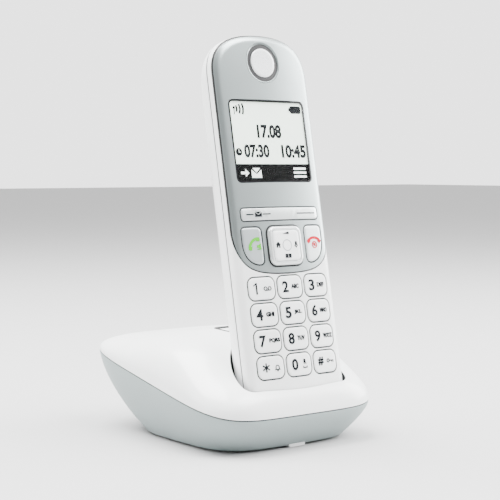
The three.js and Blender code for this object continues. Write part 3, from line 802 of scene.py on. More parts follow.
        # The hull's dark grey-teal is painted shade on white plastic; the tab keeps the white.
        finish_piece(dress(hull, HULL_PAINTED_SHADE), "base", Drawn.BASE, ["base_bottom_shell"])

    def pocket_plan(self) -> Outline:
        """Outline of the pocket: crowned in front, with roomy front corners and a rounded back."""
        side, back, front = self.pocket_half_width, self.pocket_back, self.pocket_front
        half = [(x, front + x * x / self.crown_span) for x in (0, 3, 6, 9, 12, 15, 18, 20.5)]
        half += bezier(((22.4, 0.9), (25.4, 1.5), (side, 3.0), (side, 5.4)), 10)
        half += bezier(((side, 5.4), (side, 12.5), (17.5, back), (0, back)), 26)
        return half + [(0, back)] + [(-x, y) for x, y in half[:0:-1]]

    def leaning(self, tool: Piece) -> Piece:
        """Puts a tool that was drawn in the handset's frame in the base's."""
        tool.data.transform(Drawn.BASE.value.inverted() @ Drawn.HANDSET.value)
        return tool

    def pocket(self, grow: float) -> Piece:
        """Makes the pocket as a solid, with its walls grown outwards."""
        plan = shrunk(self.pocket_plan(), -grow)
        floor = self.pocket_floor - grow
        rings = [(3.0, floor), (1.6, floor + 0.35), (0.6, floor + 1.1), (0.0, floor + 2.4)]
        rings.append((0.0, self.pocket_top))
        tool = ring_stack("pocket", len(plan), rings, lambda i, ring: (*shrunk(plan, ring[0])[i], ring[1]))
        return self.leaning(tool)

    def make_cover(self) -> None:
        """Makes the saddle-shaped cover with its pocket and the page key's opening."""
        reaches = (
            0.02, 0.12, 0.22, 0.32, 0.42, 0.5, 0.58, 0.65, 0.71,
            0.77, 0.82, 0.865, 0.9, 0.93, 0.955, 0.972, 0.985, 0.994,
        )
        rings = [(reach, self.wall, 1.0) for reach in reaches[::3]]
        rings += [(1.0, self.wall, 0.0), (1.0, 0.12, 0.0), (1.0, 0.0, 0.25), (1.0, 0.0, 1.0)]
        surface = [(reach, 0.0, 1.0) for reach in reaches[::-1]]
        rings += surface
        cover = ring_stack("base_cover", self.stations, rings, self.cover_place)
        outer_rings = [(0.02, 0.0, -1.5), (1.0, 0.0, -1.5), (1.0, 0.0, 1.0), *surface]
        below = ring_stack("below_cover", self.stations, outer_rings, self.tub_room)
        tub = self.pocket(self.tub_wall)
        carve(tub, below, "INTERSECT")
        carve(cover, tub, "UNION")
        # The pocket's walls get a near-black painted shade for the shadow inside the pocket.
        cover.data.materials.append(SHELL_WHITE.material())
        cover.data.materials.append(POCKET_PAINTED_SHADE.material())
        carve(cover, marking(self.pocket(0.0)))
        for side in (-1, 1):
            slot = rounded_rectangle(side * 8 - 1.6, side * 8 + 1.6, 15.6, 20.8, 0.6, 3)
            carve(cover, self.leaning(upright("slot", slot, (-6, 2))))
        carve(cover, upright("opening", rounded_rectangle(*self.page_opening, 10), (36, 60)))
        dress(cover, SHELL_WHITE, POCKET_PAINTED_SHADE)
        finish_piece(cover, "base", Drawn.BASE, ["base_top_cover"])
        self.make_seam_painted_shade()

    def seam_plate(self, inset: float) -> Piece:
        """Makes a thin plate that lies in the seam, inset from the base's outside."""

        def place(station: int, ring: tuple[float, float]) -> Place:
            cos, sin = self.direction(station)
            radius = ring[0] * super_radius(cos, sin, self.corner_power)
            y = (self.half_depth - inset) * radius * sin
            return (self.half_width - inset) * radius * cos, y, self.seam(y) + ring[1]

        half = self.seam_shade_half
        rings = [(0.1, -half), (1, -half), (1, half), (0.1, half)]
        return ring_stack("base_seam_painted_shade", self.stations, rings, place)

    def make_seam_painted_shade(self) -> None:
        """Makes the dark sheet in the seam between hull and cover: painted shade for the shadow in the gap.
        """
        shade_sheet = self.seam_plate(self.seam_shade_inset)
        inner = self.seam_plate(self.seam_shade_inside)
        for vertex in inner.data.vertices:
            vertex.co.z += 2 if vertex.co.z > self.seam(vertex.co.y) else -2
        carve(shade_sheet, inner)
        finish_piece(dress(shade_sheet, SOFT_BLACK_AND_GAP_SHADE), "base", Drawn.BASE)

    def tub_room(self, station: int, ring: tuple[float, float, float]) -> Place:
        """Place of a point of the room that the pocket's tub may fill."""
        reach, _, share = ring
        if share > 0:
            return self.cover_place(station, (reach, 0.05, share))
        x, y, _ = self.cover_place(station, (reach * 0.93, 0.0, 1.0))
        return x, y, 4.0

    def crested(self, name: str, box: tuple[float, ...], rings: Sequence[Point]) -> Piece:
        """Makes a rounded block that follows the cover's crest.

        Args:
            name: name of the object.
            box: left, right, front, back and corner radius of its plan.
            rings: inset of each ring, and its depth below the crest.

        Returns:
            The block.
        """
        plan = rounded_rectangle(*box, 10)

        def place(station: int, ring: Point) -> Place:
            x, y = shrunk(plan, ring[0])[station]
            return x, y, self.cover_height(x, y) - ring[1]

        return ring_stack(name, len(plan), rings, place)

    def make_page_key(self) -> None:
        """Makes the page key: an oval cap that follows the cover's crest, slightly sunk, in a dark ring of
        painted shade for the shadow round its opening.
        """
        # Dark ring round the key: painted shade for the shadowed edge of its opening.
        shade_ring_steps = [(0.0, 3.2), (0.0, -0.2), (0.1, -0.35), (0.3, -0.35), (0.4, -0.2), (0.4, 3.2)]
        shade_sheet = self.crested("page_key_painted_shade_ring", self.page_shade_ring, shade_ring_steps)
        finish_piece(dress(shade_sheet, SOFT_BLACK_AND_GAP_SHADE), "base", Drawn.BASE)
        rings = [(0.0, 3.0), (0.0, 0.9), (0.18, 0.62), (0.6, 0.45)]
        rings += [(inset, 0.4) for inset in (1.4, 2.6, 3.8, 4.8)]
        key = self.crested("page_key_cap", self.page_key, rings)
        stem = drum("page_key_stem", (0, -4.6), 21.8, 40.5, 2.0)
        piece = joined([key, stem], "page_key_cap")
        finish_piece(dress(piece, KEY_WHITE), "page_key", Drawn.BASE, ["page_key"])

    def make_feet(self) -> None:
        """Makes the four rubber feet from one turned foot."""
        plan = circle(0, 0, 4)
        rings = [(2.6, 0.0), (0.6, 0.0), (0.25, 0.12), (0.0, 0.4), (0.0, 1.3)]
        first = ring_stack(
            "rubber_foot", len(plan), rings, lambda i, ring: (*shrunk(plan, ring[0])[i], ring[1]),
        )
        dress(first, RUBBER)
        for end, y in self.foot_rows.items():
            for hand, x in (("left", -self.foot_column), ("right", self.foot_column)):
                name = f"rubber_foot_{end}_{hand}"
                foot = copied(first, f"{name}_moulded", (x, y, 0))
                finish_piece(foot, "base", Drawn.BASE, [name])
        bpy.data.objects.remove(first)

    def make(self) -> None:
        """Makes the whole base."""
        self.make_hull()
        self.make_cover()
        self.make_page_key()
        self.make_feet()


def drum(name: str, middle: Point, low: float, high: float, radius: float) -> Piece:
    """Makes an upright round bar, as a tool or a stem."""
    plan = circle(middle[0], middle[1], radius, 32)
    return upright(name, plan, (low, high))


# ------------------------------------------------------------------ handset


@dataclass
class HandsetForm:
    """Shape that the handset's shells, panel and keys share."""

    length: float = 156.2
    half_width: float = 24.5
    depth: float = 26.0
    seam: float = 6.0
    crown_radius: float = 180.0
    back_half_width: float = 25.0
    back_power: float = 2.3
    foot_corner: float = 9.0
    edge_width: float = 3.2
    edge_drop: float = 2.3
    web_middle: float = 68.3
    top_bend: Point = (118.0, 140.0)
    shoulder_drop: float = 17.0

    def crown(self, x: float) -> float:
        """Depth of the slightly rounded face at x."""
        return x * x / (2 * self.crown_radius)

    def outline(self, side: float, foot: float, top: float, scale: float = 1.0) -> Outline:
        """Outline of a slice across the handset's depth, counter-clockwise from the foot.

        Args:
            side: half width.
            foot: lower end.
            top: upper end.
            scale: size of the corners against those of the face.

        Returns:
            Always the same number of points, each at the same station.
        """
        corner = min(self.foot_corner * scale, side * 0.75)
        shoulder = top - self.shoulder_drop * scale
        bulge = 0.633 * side
        half = line((0, foot), (side - corner, foot), 8)
        for step in range(12):
            turn = math.radians(-90 + 90 * step / 12)
            half.append((side - corner + corner * math.cos(turn), foot + corner + corner * math.sin(turn)))
        half += line((side, foot + corner), (side, shoulder), 26)
        half += bezier(((side, shoulder), (side, top - 4 * scale), (bulge, top), (0, top)), 26)
        mirror = [(-x, z) for x, z in half[:0:-1]]
        return half + [(0, top)] + mirror

    def foot_at(self, y: float, inset: float) -> float:
        """Lower end of the slice at a depth."""
        back = self.depth - inset
        bend = max(0.0, min(1.0, (y - back + 6) / 6))
        return inset + 7 * (1 - math.sqrt(1 - bend)) ** 2

    def top_at(self, y: float, inset: float) -> float:
        """Upper end of the slice at a depth."""
        top, back = self.length - inset, self.depth - inset
        if y <= self.seam:
            return top
        low, high = 0.0, 1.0
        for _ in range(30):
            t = (low + high) / 2
            depth = cubic((back, back, back - 8, self.seam), t)
            low, high = (t, high) if depth > y else (low, t)
        return cubic((*self.top_bend, top, top), t)

    def solid(self, name: str, inset: float) -> Piece:
        """Makes the whole handset as one solid.

        Args:
            name: name of the object.
            inset: thickness of the wall that lies outside it.

        Returns:
            The solid, from its crowned face to its rounded back.
        """
        side, top = self.half_width - inset, self.length - inset
        middle = self.web_middle
        slices = []
        for share in (0.02, 0.12, 0.24, 0.36, 0.48, 0.58, 0.67, 0.75, 0.81):
            ends = mixed(middle, inset, share), mixed(middle, top, share)
            slices.append((self.outline(side * share, *ends, share), None))
        for turn in range(0, 91, 10):
            back = self.edge_width * (1 - math.sin(math.radians(turn)))
            slices.append((self.outline(side - back, inset + back, top - back), -math.radians(turn) - 1))
        slices.append((self.outline(side, inset, top), 5.2))
        for share in (0.985, 0.965, 0.94, 0.905, 0.86, 0.8, 0.73, 0.65, 0.56, 0.46, 0.35, 0.23, 0.11, 0.02):
            y = (self.depth - inset) * (1 - share ** self.back_power) ** (1 / self.back_power)
            half = min(side, (self.back_half_width - inset) * share)
            slices.append((self.outline(half, self.foot_at(y, inset), self.top_at(y, inset)), y))

        def place(station: int, slice_: tuple[Outline, float | None]) -> Place:
            (x, z), y = slice_[0][station], slice_[1]
            face = self.crown(x) + inset
            if y is None:
                return x, face, z
            if y < 0:
                return x, face + self.edge_drop * (1 - math.cos(-y - 1)), z
            return x, max(y, face + self.edge_drop + 0.1), z

        return ring_stack(name, len(slices[0][0]), slices, place)

    def sunk(self, name: str, depth: float) -> Piece:
        """Makes the whole handset as one solid, moved back by a depth."""
        piece = self.solid(name, 0)
        piece.data.transform(Matrix.Translation((0, depth, 0)))
        return piece

    def panel_outline(self, inset: float) -> Outline:
        """Outline of the silver panel: the handset's top and a wide U under the navigation key."""
        side, top = self.half_width - inset, self.length - inset
        low, corner, shoulder = 56.7 + inset, 74.0, self.length - self.shoulder_drop
        half = bezier(((0, low), (17, low), (side - 0.3, low + 2.5), (side, corner)), 24)
        half += line((side, corner), (side, shoulder), 24)
        half += bezier(((side, shoulder), (side, top - 4), (side - 9, top), (0, top)), 26)
        mirror = [(-x, z) for x, z in half[:0:-1]]
        return half + [(0, top)] + mirror

    def bent(self, piece: Piece) -> Piece:
        """Lays a flat-drawn piece on the face's crown."""
        for vertex in piece.data.vertices:
            vertex.co.y += self.crown(vertex.co.x)
        return piece


def face_prism(name: str, outline: Outline, front: float, back: float) -> Piece:
    """Makes a straight block through the face, from one depth to another."""
    return ring_stack(name, len(outline), (front, back), lambda i, y: (outline[i][0], y, outline[i][1]))


def moulded(name: str, outline: Outline, steps: Sequence[Point], finish: Finish) -> Piece:
    """Makes a button-like block from its rear end to its top.

    Args:
        name: name of the object.
        outline: its outline on the face.
        steps: inset and depth of each ring.
        finish: its finish.

    Returns:
        The dressed block.
    """
    rings = [(shrunk(outline, inset), depth) for inset, depth in steps]
    rear, top = rings[0], rings[-1]
    rings = [(toward_middle(rear[0], share), rear[1]) for share in (0.02, 0.3, 0.65)] + rings
    rings += [(toward_middle(top[0], share), top[1]) for share in (0.86, 0.65, 0.42, 0.2, 0.02)]
    piece = ring_stack(name, len(outline), rings, lambda i, ring: (ring[0][i][0], ring[1], ring[0][i][1]))
    return dress(piece, finish)


@dataclass
class Face:
    """Sizes of everything on the handset's face."""

    form: HandsetForm
    display: tuple[float, float, float] = (19.65, 94.4, 128.8)
    softkey: tuple[float, float, float] = (19.6, 79.1, 83.9)
    nav: tuple[float, float, float] = (8.35, 60.4, 76.2)
    side_key: tuple[float, float, float, float] = (11.3, 20.4, 61.3, 76.2)
    ear_height: float = 144.3
    ear_radius: float = 8.3
    column_pitch: float = 14.09
    row_pitch: float = 10.51
    bottom_row: float = 20.0
    key_width: float = 12.3
    key_height: float = 8.8
    key_corner: float = 2.6
    key_rise: float = 0.18
    key_gap: float = 0.62
    # Skirts: near-black rims under the keys, painted shade for the gaps round them.
    key_shade_skirt: float = 0.5
    softkey_gap: float = 0.58
    softkey_shade_skirt: float = 0.47
    softkey_corner: float = 1.2
    nav_gap: float = 0.75
    nav_shade_skirt: float = 0.45
    nav_corner: float = 3.0
    display_corner: float = 2.2
    key_rows: tuple[tuple[str, ...], ...] = (
        ("star", "0", "hash"), ("7", "8", "9"), ("4", "5", "6"), ("1", "2", "3"),
    )

    def key_middle(self, column: int, row: int) -> Point:
        """Middle of a keypad key."""
        return (column - 1) * self.column_pitch, self.bottom_row + row * self.row_pitch

    def key_outline(self, column: int, row: int, grow: float = 0.0) -> Outline:
        """Outline of a keypad key."""
        x, z = self.key_middle(column, row)
        half_x, half_z = self.key_width / 2 + grow, self.key_height / 2 + grow
        return rounded_rectangle(x - half_x, x + half_x, z - half_z, z + half_z, self.key_corner + grow)

    def block(self, size: tuple[float, float, float], corner: float, grow: float = 0.0) -> Outline:
        """Rounded block on the middle line, from its half width and its two ends."""
        half, low, high = size
        return rounded_rectangle(-half - grow, half + grow, low - grow, high + grow, corner + grow)

    def side_key_outline(self, side: int, grow: float = 0.0) -> Outline:
        """Outline of the talk key (side -1) or the end key (side 1)."""
        inner, outer, low, high = self.side_key
        path = bezier(((outer - 1.8, high), (outer - 0.6, high), (outer, high - 0.6), (outer, high - 1.8)), 6)
        path += line((outer, high - 1.8), (outer, low + 9), 4)
        path += bezier(((outer, low + 9), (outer, low + 3.4), (inner + 6, low + 0.2), (inner + 2, low)), 14)
        path += bezier(((inner + 2, low), (inner + 0.7, low), (inner, low + 0.7), (inner, low + 2)), 6)
        path += line((inner, low + 2), (inner, high - 2.4), 4)
        corner = ((inner, high - 2.4), (inner, high - 0.8), (inner + 0.8, high), (inner + 2.4, high))
        path += bezier(corner, 6)
        path += line((inner + 2.4, high), (outer - 1.8, high), 4)
        clockwise = [(side * x, z) for x, z in path]
        ordered = clockwise[::-1] if side > 0 else clockwise
        return shrunk(ordered, -grow)

    def openings(self) -> list[Outline]:
        """Outlines of the holes through the panel."""
        return [
            self.block(self.display, self.display_corner),
            self.block(self.softkey, self.softkey_corner, self.softkey_gap),
            self.block(self.nav, self.nav_corner, self.nav_gap),
            self.side_key_outline(-1, self.key_gap),
            self.side_key_outline(1, self.key_gap),
            circle(0, self.ear_height, self.ear_radius + 0.2, 72),
        ]


@dataclass
class HandsetShells:
    """Front and rear shell, silver panel and battery cover."""

    form: HandsetForm
    face: Face
    wall: float = 2.0
    face_wall: float = 3.4
    panel_inset: float = 0.7
    panel_thickness: float = 0.9
    panel_gap: float = 0.6
    seam_gap: float = 0.8
    # Sizes of the dark sheet of painted shade in the seam between the shells.
    shell_shade_inset: float = 0.12
    shell_shade_width: float = 1.0
    cover: tuple[float, float, float] = (16.0, 46.0, 120.0)
    cover_corner: float = 4.0
    cover_gap: float = 0.25
    cover_thickness: float = 1.8

    def make_front(self) -> None:
        """Makes the white front shell with its key openings and the panel's seat."""
        shell = self.form.solid("front_shell", 0)
        cut_at(shell, self.form.seam, -1)
        room = self.form.solid("room", self.wall)
        cut_at(room, self.face_wall, 1)
        carve(shell, room)
        seat = face_prism("seat", self.form.panel_outline(self.panel_inset - self.panel_gap), AHEAD, DEEP)
        carve(seat, self.form.sunk("behind", self.panel_thickness + 0.9))
        carve(shell, seat)
        for outline in self.face.openings():
            carve(shell, face_prism("hole", outline, AHEAD, THROUGH))
        for row, names in enumerate(self.face.key_rows):
            for column, _ in enumerate(names):
                outline = self.face.key_outline(column, row, self.face.key_gap)
                carve(shell, face_prism("hole", outline, AHEAD, THROUGH))
        dress(shell, SHELL_WHITE)
        finish_piece(shell, "handset", Drawn.HANDSET, ["handset_front_shell"])

    def make_panel(self) -> None:
        """Makes the thin silver panel that follows the face's crown."""
        panel = face_prism("silver_panel", self.form.panel_outline(self.panel_inset), AHEAD, DEEP)
        carve(panel, self.form.solid("face", 0), "INTERSECT")
        carve(panel, self.form.sunk("behind", self.panel_thickness))
        for outline in self.face.openings():
            carve(panel, face_prism("hole", outline, AHEAD, THROUGH))
        finish_piece(dress(panel, SILVER), "handset", Drawn.HANDSET, ["face_panel"])
        # Dark line round the panel's edge: painted shade for the shadow in the gap between panel and shell.
        outside, inside = (self.form.panel_outline(self.panel_inset - grow) for grow in (0.35, 0.02))
        shade_sheet = face_prism("panel_painted_shade_line", outside, AHEAD, DEEP)
        carve(shade_sheet, self.form.sunk("front", 0.3), "INTERSECT")
        carve(shade_sheet, self.form.sunk("behind", self.panel_thickness + 0.5))
        carve(shade_sheet, face_prism("inside", inside, AHEAD, DEEP))
        finish_piece(dress(shade_sheet, SOFT_BLACK_AND_GAP_SHADE), "handset", Drawn.HANDSET)

    def make_rear(self) -> None:
        """Makes the rear shell with its battery bay, and the battery cover that closes it."""
        shell = self.form.solid("rear_shell", 0)
        cut_at(shell, self.form.seam + self.seam_gap, 1)
        whole = copied(shell, "whole")
        cover = copied(shell, "battery_cover_lid")
        carve(shell, self.form.solid("room", self.wall))
        tray = face_prism("tray", rounded_rectangle(-18, 18, 44, 122, 5), 11, PAST_BACK)
        carve(tray, whole, "INTERSECT")
        carve(shell, tray, "UNION")
        half, low, high = self.cover
        gap = self.cover_gap
        opening = rounded_rectangle(-half - gap, half + gap, low - gap, high + gap, self.cover_corner + 0.2)
        seat = face_prism("seat", opening, 8, PAST_BACK)
        carve(seat, self.form.solid("under", self.cover_thickness + 0.3))
        carve(shell, seat)
        carve(shell, face_prism("bay", rounded_rectangle(-12.4, 12.4, 58.5, 108.6, 1), 12.6, PAST_BACK))
        for slot in range(4):
            z = 127 + 3 * slot
            carve(shell, face_prism("grille", rounded_rectangle(-6, 6, z, z + 1.2, 0.58, 4), 12, PAST_BACK))
        for side in (-1, 1):
            for radius, front in ((2.5, 17), (1.5, 9)):
                carve(shell, face_prism("screw_well", circle(side * 14, 8, radius, 32), front, PAST_BACK))
            pad = rounded_rectangle(side * 8 - 1.9, side * 8 + 1.9, 15.1, 21.3, 0.5, 3)
            carve(shell, upright("pad_well", pad, (-5, 5)))
        dress(shell, SHELL_WHITE)
        finish_piece(shell, "handset", Drawn.HANDSET, ["handset_rear_shell"])
        edge = rounded_rectangle(-half, half, low, high, self.cover_corner)
        carve(cover, face_prism("edge", edge, 8, PAST_BACK), "INTERSECT")
        carve(cover, self.form.solid("under", self.cover_thickness))
        for ridge in range(5):
            z = 108 + 1.8 * ridge
            groove = rounded_rectangle(-5 + 0.5 * ridge, 5 - 0.5 * ridge, z, z + 0.8, 0.38, 4)
            carve(cover, face_prism("groove", groove, 25.5, PAST_BACK))
        dress(cover, SHELL_WHITE)
        finish_piece(cover, "battery_cover", Drawn.HANDSET, ["battery_cover"])

    def narrow(self, piece: Piece, inset: float) -> None:
        """Draws a slice of the handset in by an inset, at its sides and both ends."""
        middle = self.form.length / 2
        for vertex in piece.data.vertices:
            vertex.co.x *= 1 - inset / self.form.half_width
            vertex.co.z = middle + (vertex.co.z - middle) * (1 - inset / middle)

    def make_seam_painted_shade(self) -> None:
        """Makes the dark sheet between the front and the rear shell: painted shade for the shadow in the
        seam.
        """
        shade_sheet = self.form.solid("shell_seam_painted_shade", 0)
        cut_at(shade_sheet, self.form.seam - 0.3, 1)
        cut_at(shade_sheet, self.form.seam + self.seam_gap + 0.3, -1)
        self.narrow(shade_sheet, self.shell_shade_inset)
        inner = copied(shade_sheet, "inner")
        self.narrow(inner, self.shell_shade_width)
        for vertex in inner.data.vertices:
            vertex.co.y += 2 if vertex.co.y > self.form.seam else -2
        carve(shade_sheet, inner)
        finish_piece(dress(shade_sheet, SOFT_BLACK_AND_GAP_SHADE), "handset", Drawn.HANDSET)

    def make(self) -> None:
        """Makes all the shells."""
        self.make_seam_painted_shade()
        self.make_front()
        self.make_panel()
        self.make_rear()


@dataclass
class Keypad:
    """Twelve keypad keys, each with its digit and small letters or sign."""

    form: HandsetForm
    face: Face
    crowning: float = 0.08
    letters: dict[str, str] = field(default_factory=lambda: {
        "2": "ABC", "3": "DEF", "4": "GHI", "5": "JKL", "6": "MNO", "7": "PQRS", "8": "TUV", "9": "WXYZ",
    })

    def key(self, name: str, column: int, row: int) -> Piece:
        """Makes the cap of a key, with a rolled edge, on a rubber skirt whose near-black colour is painted
        shade for the gap round the key.
        """
        rise = self.face.key_rise
        heights = ((0, -0.22), (0.07, -0.1), (0.2, 0.0), (0.45, 0.06), (1.2, self.crowning))
        steps = [(0, 1.2)] + [(inset, -rise - height) for inset, height in heights]
        cap = moulded(f"{name}_cap", self.face.key_outline(column, row), steps, KEY_WHITE)
        outline = self.face.key_outline(column, row, self.face.key_shade_skirt)
        skirt = moulded(f"{name}_skirt", outline, [(0, 4.3), (0, 0.22), (0.2, 0.14)], MAT_RUBBER_AND_GAP_SHADE)
        return joined([cap, skirt], f"{name}_cap")

    def marks(self, name: str, column: int, row: int) -> Marks:
        """Prints a key's marks.

        Args:
            name: the key's label.
            column: its column from the left.
            row: its row from the foot.

        Returns:
            The marks on the key's surface.
        """
        x, z = self.face.key_middle(column, row)
        ink = Marks(INK, -self.face.key_rise - self.crowning)
        if name in self.letters:
            word = self.letters[name]
            ink.text(name, x - 4.1, z - 2.2, 4.6, 3.05, 0.03)
            ink.text(word, x + 0.45, z - 0.85, 1.9, 1.3 * len(word), 0.055)
        elif name == "1":
            ink.one(x - 4.1, z - 2.2, 4.6)
            ink.ring(x + 1.6, z - 0.1, 0.7, 0.36)
            ink.ring(x + 3.6, z - 0.1, 0.7, 0.36)
            ink.box(x + 1.6, x + 3.6, z - 0.98, z - 0.62, 0.05)
        elif name == "0":
            ink.text(name, x - 3.9, z - 2.2, 4.6, 3.1, 0.03)
            ink.text("R", x + 2.1, z + 0.0, 2.0, 1.5, 0.055)
            ink.box(x + 1.7, x + 3.9, z - 1.65, z - 1.3, 0.05)
            ink.box(x + 1.7, x + 2.05, z - 1.6, z - 0.8, 0.05)
            ink.box(x + 3.55, x + 3.9, z - 1.6, z - 0.8, 0.05)
        elif name == "star":
            for turn in (90, 150, 210, 270, 330, 30):
                self.ray(ink, (x - 2.4, z + 0.1), turn, 1.8)
            ink.arc(x + 2.9, z - 0.1, 0.75, 0.36, 0, 180)
            ink.box(x + 1.97, x + 2.33, z - 0.9, z, 0.05)
            ink.box(x + 3.47, x + 3.83, z - 0.9, z, 0.05)
            ink.box(x + 1.6, x + 4.2, z - 1.18, z - 0.82, 0.05)
            ink.area(circle(x + 2.9, z - 1.45, 0.34, 12))
        else:
            ink.text("#", x - 4.1, z - 1.5, 3.5, 3.1, 0.045)
            ink.ring(x + 1.6, z + 0.2, 0.62, 0.38)
            ink.box(x + 2.2, x + 4.6, z + 0.02, z + 0.4, 0.05)
            ink.box(x + 3.45, x + 3.8, z - 0.45, z + 0.2, 0.05)
            ink.box(x + 4.25, x + 4.6, z - 0.55, z + 0.2, 0.05)
        return ink

    @staticmethod
    def ray(ink: Marks, middle: Point, turn: float, length: float) -> None:
        """Adds one ray of the star."""
        along = Vector((math.cos(math.radians(turn)), math.sin(math.radians(turn))))
        across = Vector((-along.y, along.x)) * 0.27
        start = Vector(middle)
        end = start + along * length
        ink.area([tuple(start - across), tuple(end - across), tuple(end + across), tuple(start + across)])

    def make(self) -> None:
        """Makes the twelve keys."""
        for row, names in enumerate(self.face.key_rows):
            for column, name in enumerate(names):
                node = f"key_{name}"
                cap = self.key(node, column, row)
                piece = joined([cap, *self.marks(name, column, row).parts], f"{node}_cap")
                self.form.bent(piece)
                finish_piece(piece, node, Drawn.HANDSET, [node])


@dataclass
class Controls:
    """Talk key, end key, softkey bar and navigation key."""

    form: HandsetForm
    face: Face
    side_rise: float = 0.3
    softkey_rise: float = 0.2
    nav_rise: float = 1.5
    side_steps: tuple[Point, ...] = (
        (0, 4.3), (0, 0.1), (0.08, -0.05), (0.25, -0.2), (0.6, -0.28), (1.2, -0.3),
    )

    @staticmethod
    def receiver(ink: Marks, middle: Point, radius: float, start: float, end: float) -> None:
        """Adds a telephone receiver: a thick bent bar with a cup at each end.

        Args:
            ink: the marks to add to.
            middle: centre of the bar's arc.
            radius: radius of the arc.
            start: angle of the first end, in degrees.
            end: angle of the last end, in degrees.
        """
        x, z = middle
        ink.arc(x, z, radius, 1.1, start, end)
        for turn in (start, end):
            angle = math.radians(turn)
            out = Vector((math.cos(angle), math.sin(angle)))
            along = Vector((-out.y, out.x)) * 0.8
            centre = Vector((x, z)) + out * (radius - 0.3)
            low, high = centre - out * 0.8, centre + out * 0.72
            ink.area([tuple(corner) for corner in (low - along, high - along, high + along, low + along)])

    def side_key(self, name: str, side: int, finish: Finish) -> list[Piece]:
        """Makes the cap and the rubber skirt of the talk key (side -1) or the end key (side 1); the skirt's
        near-black colour is painted shade for the gap round the key.
        """
        cap = moulded(name, self.face.side_key_outline(side), self.side_steps, finish)
        outline = self.face.side_key_outline(side, self.face.key_shade_skirt)
        return [cap, moulded("skirt", outline, [(0, 4.3), (0, 0.2), (0.2, 0.12)], MAT_RUBBER_AND_GAP_SHADE)]

    def make_talk(self) -> None:
        """Makes the talk key with its green receiver and speaker sign."""
        # The talk key's darker silver is painted shade for the face's left side.
        parts = self.side_key("talk_key_cap", -1, TALK_SILVER_PAINTED_SHADE)
        ink = Marks(INK_GREEN, -self.side_rise)
        self.receiver(ink, (-13.3, 67.3), 4.4, 92, 172)
        ink.box(-14.1, -13.2, 68.0, 69.0, 0.1)
        ink.area([(-13.4, 68.0), (-12.3, 67.3), (-12.3, 69.7), (-13.4, 69.0)])
        ink.box(-14.1, -11.9, 67.2, 67.5, 0.1)
        piece = self.form.bent(joined([*parts, *ink.parts], "talk_key_cap"))
        finish_piece(piece, "talk_key", Drawn.HANDSET, ["talk_key"])

    def make_end(self) -> None:
        """Makes the end key with its red receiver and ring sign."""
        parts = self.side_key("end_key_cap", 1, END_SILVER)
        ink = Marks(INK_RED, -self.side_rise)
        self.receiver(ink, (15.9, 66.2), 5.0, 50, 130)
        ink.ring(16.0, 68.2, 1.25, 0.4)
        ink.arc(16.0, 68.3, 0.45, 0.3, 0, 350)
        ink.area([(15.0, 69.0), (15.2, 69.25), (17.0, 67.6), (16.8, 67.35)][::-1])
        piece = self.form.bent(joined([*parts, *ink.parts], "end_key_cap"))
        finish_piece(piece, "end_key", Drawn.HANDSET, ["end_key"])

    def make_softkey(self) -> None:
        """Makes the softkey bar with an envelope between two strokes, and one stroke."""
        block, corner = self.face.softkey, self.face.softkey_corner
        bar = face_prism("softkey_bar_cap", self.face.block(block, corner), AHEAD, 3.9)
        carve(bar, self.form.sunk("crown", -self.softkey_rise), "INTERSECT")
        soften(bar, 0.18, 2)
        dress(bar, SOFTKEY_SILVER)
        ink = Marks(INK, -self.softkey_rise)
        for left, right in ((-17.4, -14.0), (-9.4, -5.6), (8.3, 18.2)):
            ink.box(left, right, 81.27, 81.73, 0.05)
        envelope(ink, (-11.6, 81.5), 3.3, 2.1, 0.28)
        signs = self.form.bent(joined(ink.parts, "softkey_signs"))
        # The skirt's near-black rubber is painted shade for the gap round the bar.
        outline = self.face.block(block, corner, self.face.softkey_shade_skirt)
        skirt = face_prism("softkey_shade_skirt", outline, AHEAD, 3.9)
        carve(skirt, self.form.sunk("crown", 0.1), "INTERSECT")
        piece = joined([bar, dress(skirt, MAT_RUBBER_AND_GAP_SHADE), signs], "softkey_bar_cap")
        finish_piece(piece, "softkey_bar", Drawn.HANDSET, ["softkey_bar"])

    def make_nav(self) -> None:
        """Makes the navigation key: a bright rim round a raised plateau with four signs."""
        half, low, high = self.face.nav
        middle = (low + high) / 2
        steps = [(0, 3.5), (0, -0.3), (0.1, -0.75), (0.35, -1.05), (0.8, -1.2)]
        steps += [(1.2, -1.15), (1.45, -0.9), (1.6, -0.5), (2.6, -0.5)]
        corner = self.face.nav_corner
        rim = moulded("nav_rim", self.face.block(self.face.nav, corner), steps, NAV_SILVER)
        plate = rounded_rectangle(-half + 1.75, half - 1.75, low + 1.75, high - 1.75, 1.7)
        steps = [(0, 0.0), (0, -1.0), (0.1, -1.25), (0.35, -1.42), (0.8, -1.48), (1.3, -self.nav_rise)]
        plateau = moulded("nav_plateau", plate, steps, KEY_WHITE)
        ink = Marks(INK, -self.nav_rise)
        wedge = ((-1.7, 4.7), (1.4, 4.5), (1.5, 5.2), (1.2, 5.5), (0.6, 5.4))
        ink.area([(x, middle + z) for x, z in wedge])
        ink.area([(-5.9, middle + 0.35), (-3.3, middle + 0.35), (-4.6, middle + 1.55)])
        ink.box(-5.5, -4.9, middle - 0.95, middle + 0.45, 0.05)
        ink.box(-4.3, -3.7, middle - 0.95, middle + 0.45, 0.05)
        ink.box(-5.0, -4.2, middle - 0.2, middle + 0.45, 0.05)
        ink.box(4.1, 5.1, middle - 0.3, middle + 1.5, 0.48)
        ink.arc(4.6, middle + 0.1, 0.8, 0.26, 190, 350)
        ink.box(4.45, 4.75, middle - 1.2, middle - 0.6, 0.05)
        ink.box(-1.55, -0.12, middle - 5.2, middle - 3.5, 0.12)
        ink.box(0.12, 1.55, middle - 5.2, middle - 3.5, 0.12)
